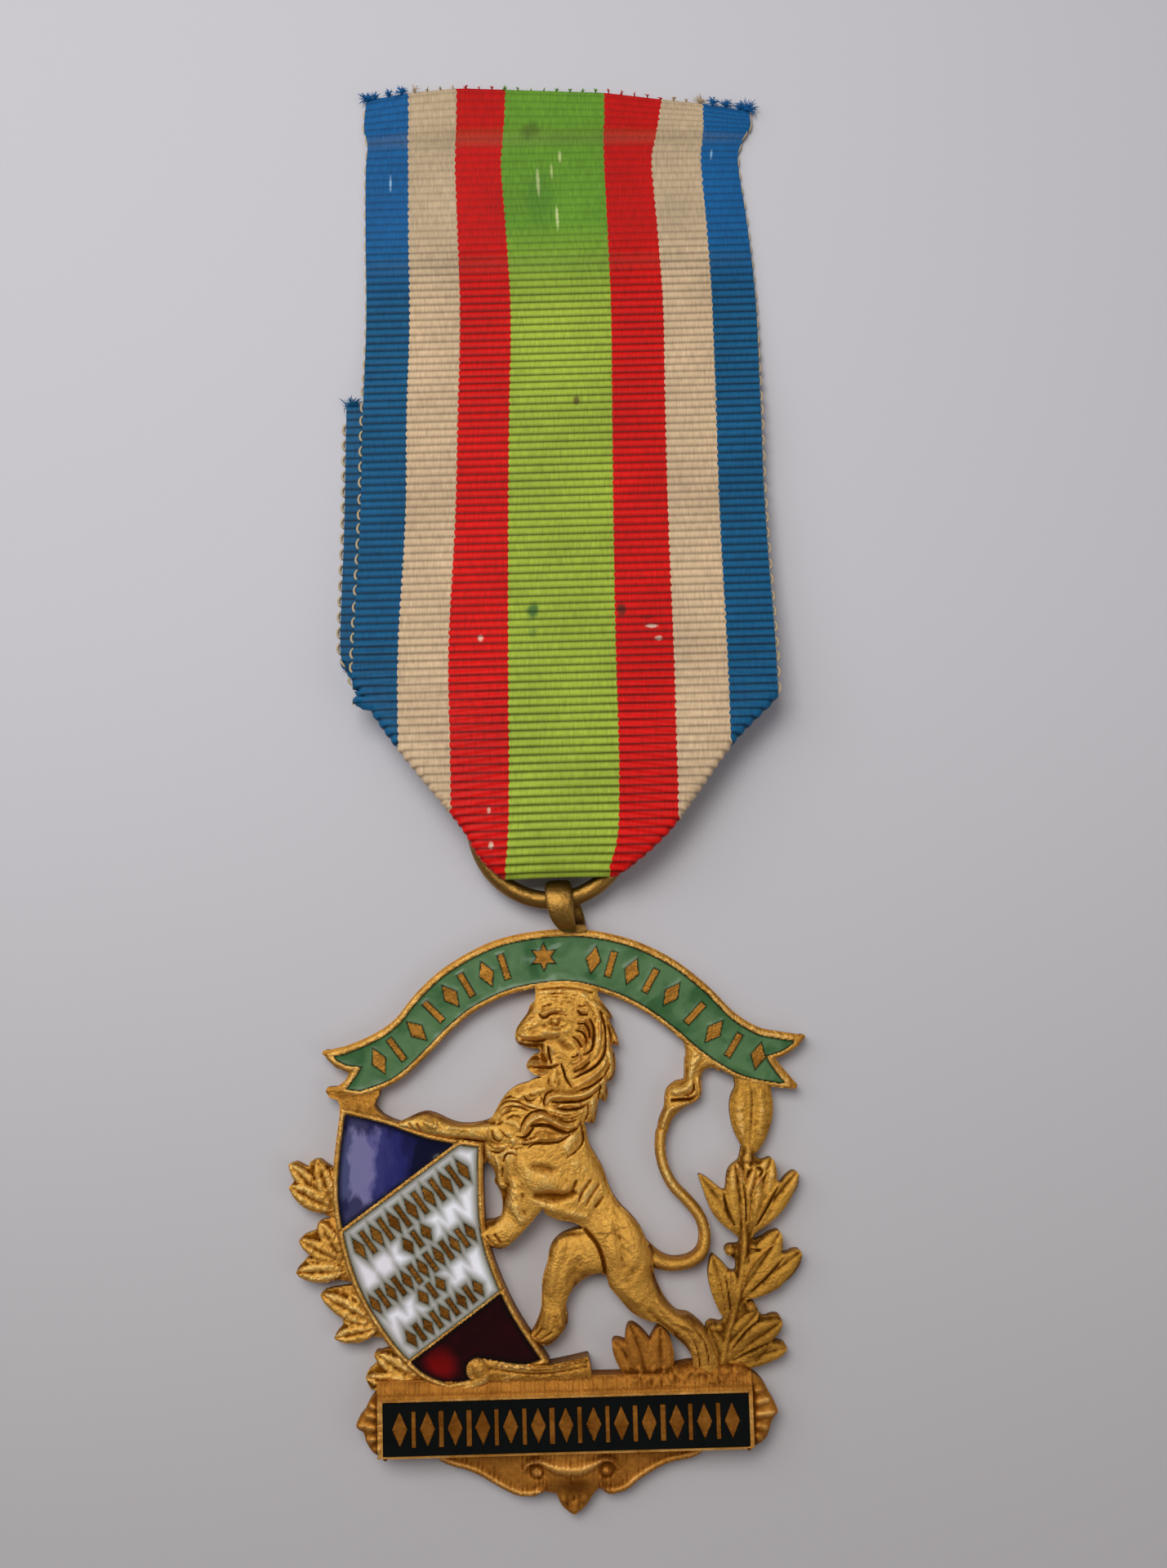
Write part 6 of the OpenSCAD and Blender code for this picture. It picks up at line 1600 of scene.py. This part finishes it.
# blue, cream, red and green where the ribbon was pressed, and below
DYES = (("#074E82", "#B8A283", "#BA0400", "#5F8F26"), ("#0D4F76", "#CDB18E", "#D2100A", "#9DB33B"))


def marked(tree, uv, jitter, base):
    """Lays each mark over the dye. Its edge is where ((du / a)^2 + (dv / b)^2)^0.5 passes 1, blurred and
    made uneven by the noise. A mark's place on the badge is turned into the ribbon's own coordinates."""
    for x, y, wide, high, strength, tint in MARKS:
        row = int(np.argmin(np.abs(path_y - y) + 100 * (along > turn_at)))
        at = np.interp(x, [table(BORDERS, path_y[row], k) for k in range(1, 9)], STRIPES) / 100
        moved = node(tree, "Mapping", {"vector_type": "TEXTURE"}, Vector=uv,
                     Location=(at, float(along[row]) / 100, 0), Scale=(wide / 100, high / 100, 1))
        reach = node(tree, "VectorMath", "LENGTH", in0=moved).outputs["Value"]
        uneven = node(tree, "Math", "MULTIPLY_ADD", in0=jitter, in1=0.9, in2=reach)
        cover = node(tree, "MapRange", Value=uneven, From_Min=1.05, From_Max=1.75, To_Min=strength,
                     To_Max=0.0)
        base = node(tree, "Mix", COLOURS, Factor=cover, in6=base, in7=colour(tint)).outputs[2]
    return base


def silk():
    """Striped grosgrain, with painted shade in the grooves between ribs and painted highlights on their
    crests. The sheen comes from a soft glossy lobe, broken by the warp threads.
    """
    material, tree, shader = start_material("striped_silk_grosgrain")
    uv = node(tree, "UVMap", {"uv_map": "UVMap"}).outputs["UV"]
    u, v = node(tree, "SeparateXYZ", Vector=uv).outputs[:2]
    # a rib is |cos| of its place in the pitch, as in the mesh
    rib = node(tree, "Math", "MULTIPLY", in0=v, in1=math.pi * 100 / RIB)
    rib = node(tree, "Math", "ABSOLUTE", in0=node(tree, "Math", "COSINE", in0=rib))
    # the stripes' borders are ragged by the noise and scalloped by the ribs
    jitter = node(tree, "TexNoise", Vector=uv, Scale=260.0, Detail=2.0)
    ragged = node(tree, "Math", "MULTIPLY_ADD", in0=jitter, in1=0.0022, in2=u)
    scallop = node(tree, "Math", "MULTIPLY_ADD", in0=rib, in1=0.0012, in2=ragged)
    share = node(tree, "MapRange", Value=scallop, From_Min=0.0015, From_Max=0.3695)
    stripes = []
    for blue, cream, red, green in DYES:
        order = (blue, cream, red, green, red, cream, blue)
        stops = [(at / STRIPES[-1], dye) for at, dye in zip(STRIPES, order)]
        stripes.append(node(tree, "ValToRGB", {"interpolation": "CONSTANT"}, stops, in0=share))
    down = node(tree, "MapRange", Value=v, From_Min=0.13, From_Max=0.22)
    dyed = node(tree, "Mix", COLOURS, Factor=down, in6=stripes[0], in7=stripes[1]).outputs[2]
    threads = node(tree, "Mapping", Vector=uv, Scale=(1.0, 0.16, 1))
    warp = node(tree, "TexNoise", Vector=threads, Scale=480.0, Detail=3.0, Roughness=0.7)
    # painted shade in the grooves is faint where the ribbon is pressed flat near the top, and deep below
    depth = node(tree, "MapRange", Value=v, From_Min=0.13, From_Max=0.2, To_Min=0.85, To_Max=0.22)
    # painted shade and highlight of the ribs: the grooves look shallow in the pale stripes and deep in the
    # blue ones, and the crests are painted lighter, most in the blue ones
    hue = node(tree, "SeparateColor", Color=dyed).outputs
    pale = node(tree, "Math", "MINIMUM", in0=hue["Red"], in1=hue["Blue"])
    shallow = node(tree, "MapRange", Value=pale, From_Min=0.1, From_Max=0.3, To_Max=0.62)
    lowest = node(tree, "Math", "MAXIMUM", in0=depth, in1=shallow)
    cool = node(tree, "Math", "SUBTRACT", in0=hue["Blue"], in1=hue["Red"])
    crest = node(tree, "MapRange", Value=cool, From_Max=0.25, To_Min=1.12, To_Max=1.45)
    groove = node(tree, "MapRange", Value=rib, From_Max=0.8, To_Min=lowest, To_Max=crest)
    tone = node(tree, "MapRange", Value=warp, From_Min=0.25, From_Max=0.75, To_Min=0.72, To_Max=1.2)
    dirt = node(tree, "TexNoise", Vector=uv, Scale=14.0, Detail=4.0)
    soil = node(tree, "MapRange", Value=dirt, From_Min=0.35, From_Max=0.75, To_Min=1.04, To_Max=0.8)
    shade = node(tree, "Math", "MULTIPLY", in0=groove, in1=tone)
    shade = node(tree, "Math", "MULTIPLY", in0=shade, in1=soil)
    shaded = node(tree, "Mix", {"data_type": "RGBA", "blend_type": "MULTIPLY"}, Factor=1.0,
                  in6=marked(tree, uv, jitter, dyed), in7=shade).outputs[2]
    bump = node(tree, "Bump", Strength=0.5, Distance=0.00005, Height=warp)
    join(tree, shader, Base_Color=shaded, Roughness=0.55, Specular_IOR_Level=0.14, Sheen_Weight=0.06,
         Sheen_Roughness=0.4, Normal=bump)
    return material


silk_material = silk()
dress(ribbon_cloth, silk_material, "ribbon")
print("nodes in the silk", len(silk_material.node_tree.nodes))

# %% [markdown]
# ### Picots
# The weft cords turn back at the selvedge in small loops, one for every second rib. Each is half
# a ring of soft cream thread, a few tenths of a millimetre proud of the edge. At the cut ends the
# blue warp has come loose: a few dozen fine threads stick out, most of them at the corners.

# %% Picots


def picots(spacing=2 * RIB, reach=0.26, thread=0.11, steps=9, around=6):
    """Half rings along both edges. Each stands on the edge's point, in the plane of the edge's own
    direction and the outward one, and its thread is round."""
    all_points, all_faces, first = [], [], 0
    t = np.linspace(0, np.pi, steps)[:, None]
    ring = np.linspace(0, 2 * np.pi, around, endpoint=False)[:, None]
    for column, sign in ((0, -1), (-1, 1)):
        edge = middle_points[:, column]
        outward = edge - middle_points[:, column - sign]
        outward /= np.maximum(np.linalg.norm(outward, axis=1, keepdims=True), 1e-9)
        centres = np.arange(spacing, ribbon_length - spacing, spacing)
        row = np.searchsorted(along, centres)
        e, o = edge[row][:, None], outward[row]
        forward = edge[np.minimum(row + 3, rows_n - 1)] - edge[np.maximum(row - 3, 0)]
        forward /= np.linalg.norm(forward, axis=1, keepdims=True)
        up = np.cross(o, forward)
        # the loops differ in size, and they are flat near the pressed top
        size = reach * (0.8 + 0.4 * np.abs(np.sin(centres * 12.9)))
        size *= 0.25 + 0.75 * smoothstep(centres, 20, 34)
        o, forward = o[:, None], forward[:, None]
        line = e + o * np.sin(t) * size[:, None, None] - forward * np.cos(t) * spacing * 0.3
        radial = o * np.sin(t) - forward * np.cos(t)
        round_it = radial[:, :, None] * np.cos(ring) + up[:, None, None] * np.sin(ring)
        tube = line[:, :, None] + thread * round_it
        all_points.append(tube.reshape(-1, 3))
        all_faces += tube_faces(len(centres), steps, around, first)
        first += tube.size // 3
    points = np.vstack(all_points)
    points[:, 2] = np.maximum(points[:, 2], 0.02)
    return points, all_faces


points, faces = picots()
picot_piece = make_piece("ribbon_picots", points, faces)
thread_material, tree, shader = start_material("cream_silk_thread")
join(tree, shader, Base_Color=colour("#B7A380"), Roughness=0.6)
dress(picot_piece, thread_material)


# %% Frayed threads
def frayed(rows, seed, steps=6, around=5):
    """Loose threads. A row gives the end, the place across the ribbon in mm, the spread, the number, the
    length and the direction in degrees. Each thread runs along its own arc and thins out."""
    rng = np.random.default_rng(seed)
    rows = np.array(rows)
    end, across, spread, number, length, angle = np.repeat(rows, rows[:, 3].astype(int), axis=0).T
    n = len(end)
    row = np.where(end > 0, rows_n - 1, 0)
    sought = np.clip(across + spread * rng.uniform(-1, 1, n), 0, STRIPES[-1])
    place_at = np.argmin(np.abs(sheet_across[row] - sought[:, None]), axis=1)
    start = middle_points[row, place_at]
    t = np.linspace(0, 1, steps)[None]
    size = (length * rng.uniform(0.35, 1.1, n))[:, None]
    turn = np.radians(angle + rng.normal(0, 26, n))[:, None] + t * rng.normal(0, 0.9, n)[:, None]
    step = size / (steps - 1)
    x = start[:, :1] + np.cumsum(np.cos(turn) * step, axis=1) - np.cos(turn[:, :1]) * step * 1.6
    y = start[:, 1:2] + np.cumsum(np.sin(turn) * step, axis=1) - np.sin(turn[:, :1]) * step * 1.6
    z = start[:, 2:] + 0.1 + rng.uniform(0, 0.5, n)[:, None] * np.sin(
        np.pi * t * rng.uniform(0.4, 1, n)[:, None])
    radius = rng.uniform(0.035, 0.07, n)[:, None] * (1 - 0.6 * t**2)
    ring = np.linspace(0, 2 * np.pi, around, endpoint=False)[:, None]
    side = np.stack([-np.sin(turn), np.cos(turn), 0 * turn], axis=-1)
    centre = np.stack([x, y, np.maximum(z, 0.12)], axis=-1)
    round_it = side[:, :, None] * np.cos(ring) + np.array([0, 0, 1.0]) * np.sin(ring)
    tube = centre[:, :, None] + radius[..., None, None] * round_it
    uv = np.repeat(np.column_stack([sheet_across[row, place_at], along[row]]) / 100, steps * around, axis=0)
    return tube.reshape(-1, 3), tube_faces(n, steps, around), uv


FRAYS = measures("""
# end (0 top, 1 back), place across, spread, number, length, direction
0 2.4 2.4 130 .8 95, 0 .3 .4 30 1.1 150, 0 34.4 2.4 150 .9 75, 0 36.6 .4 50 1.3 30,
0 18.4 18.4 200 .35 90, 1 1.2 1.2 70 1.1 105, 1 18 18 60 .4 90""")
points, faces, uv = frayed(FRAYS, seed=3)
fray_piece = make_piece("ribbon_frayed_threads", points, faces, uv=uv)
dress(fray_piece, silk_material)

# %% [markdown]
# ## Table and light
# A pale, plain table, painted a little darker towards the front as painted shade of the window's
# light falling off, and soft light: a window above the ribbon, whose light falls off towards the
# badge's foot, a low one on the left, a weak lamp on the right, and a dim room around them, so that
# the gold has something dark to reflect too.

# %% Stage
floor_mesh = bpy.data.meshes.new("table_top")
floor_mesh.from_pydata([(-1.5, -1.5, 0), (1.5, -1.5, 0), (1.5, 1.5, 0), (-1.5, 1.5, 0)], [], [(0, 1, 2, 3)])
floor = bpy.data.objects.new("table_top", floor_mesh)
bpy.context.scene.collection.objects.link(floor)
floor_material, tree, shader = start_material("pale_matt_table")
where = node(tree, "SeparateXYZ", Vector=node(tree, "TexCoord").outputs["Object"]).outputs["Y"]
# painted shade: the table's colour darkens towards the front, where the window's light falls off
down = node(tree, "MapRange", Value=where, From_Min=-0.09, From_Max=0.02)
shade = node(tree, "ValToRGB", SOFT_RAMP, ((0.0, "#B6B3B5"), (1.0, "#C6C5CB")), in0=down)
join(tree, shader, Base_Color=shade, Roughness=0.75)
floor.data.materials.append(floor_material)


def lamp(name, at, size, power, tint):
    """A square area lamp that faces the scroll's middle, with place and size in drawing mm."""
    data = bpy.data.lights.new(name, "AREA")
    data.size = size * MM
    data.energy = power
    data.color = colour(tint)[:3]
    lamp_object = bpy.data.objects.new(name, data)
    bpy.context.scene.collection.objects.link(lamp_object)
    away = place(at) - place([0, 0, 0])
    away /= np.linalg.norm(away)
    side = np.cross([0, 1, 0], away)
    side /= np.linalg.norm(side)
    turned = Matrix(np.column_stack([side, np.cross(away, side), away]).tolist()).to_4x4()
    lamp_object.matrix_world = Matrix.Translation(place(at)) @ turned


lamp("window_above", (-60, 110, 260), 150, 0.5, "#FFFDF8")
lamp("window_left", (-320, 200, 260), 300, 0.45, "#F4F7FF")
lamp("lamp_right", (320, -150, 320), 260, 0.25, "#FFF8F0")
world = bpy.data.worlds.new("room")
bpy.context.scene.world = world
world.use_nodes = True
join(world.node_tree, world.node_tree.nodes["Background"], Color=colour("#C9C7CC"), Strength=0.36)
bpy.context.scene.view_settings.view_transform = "Standard"
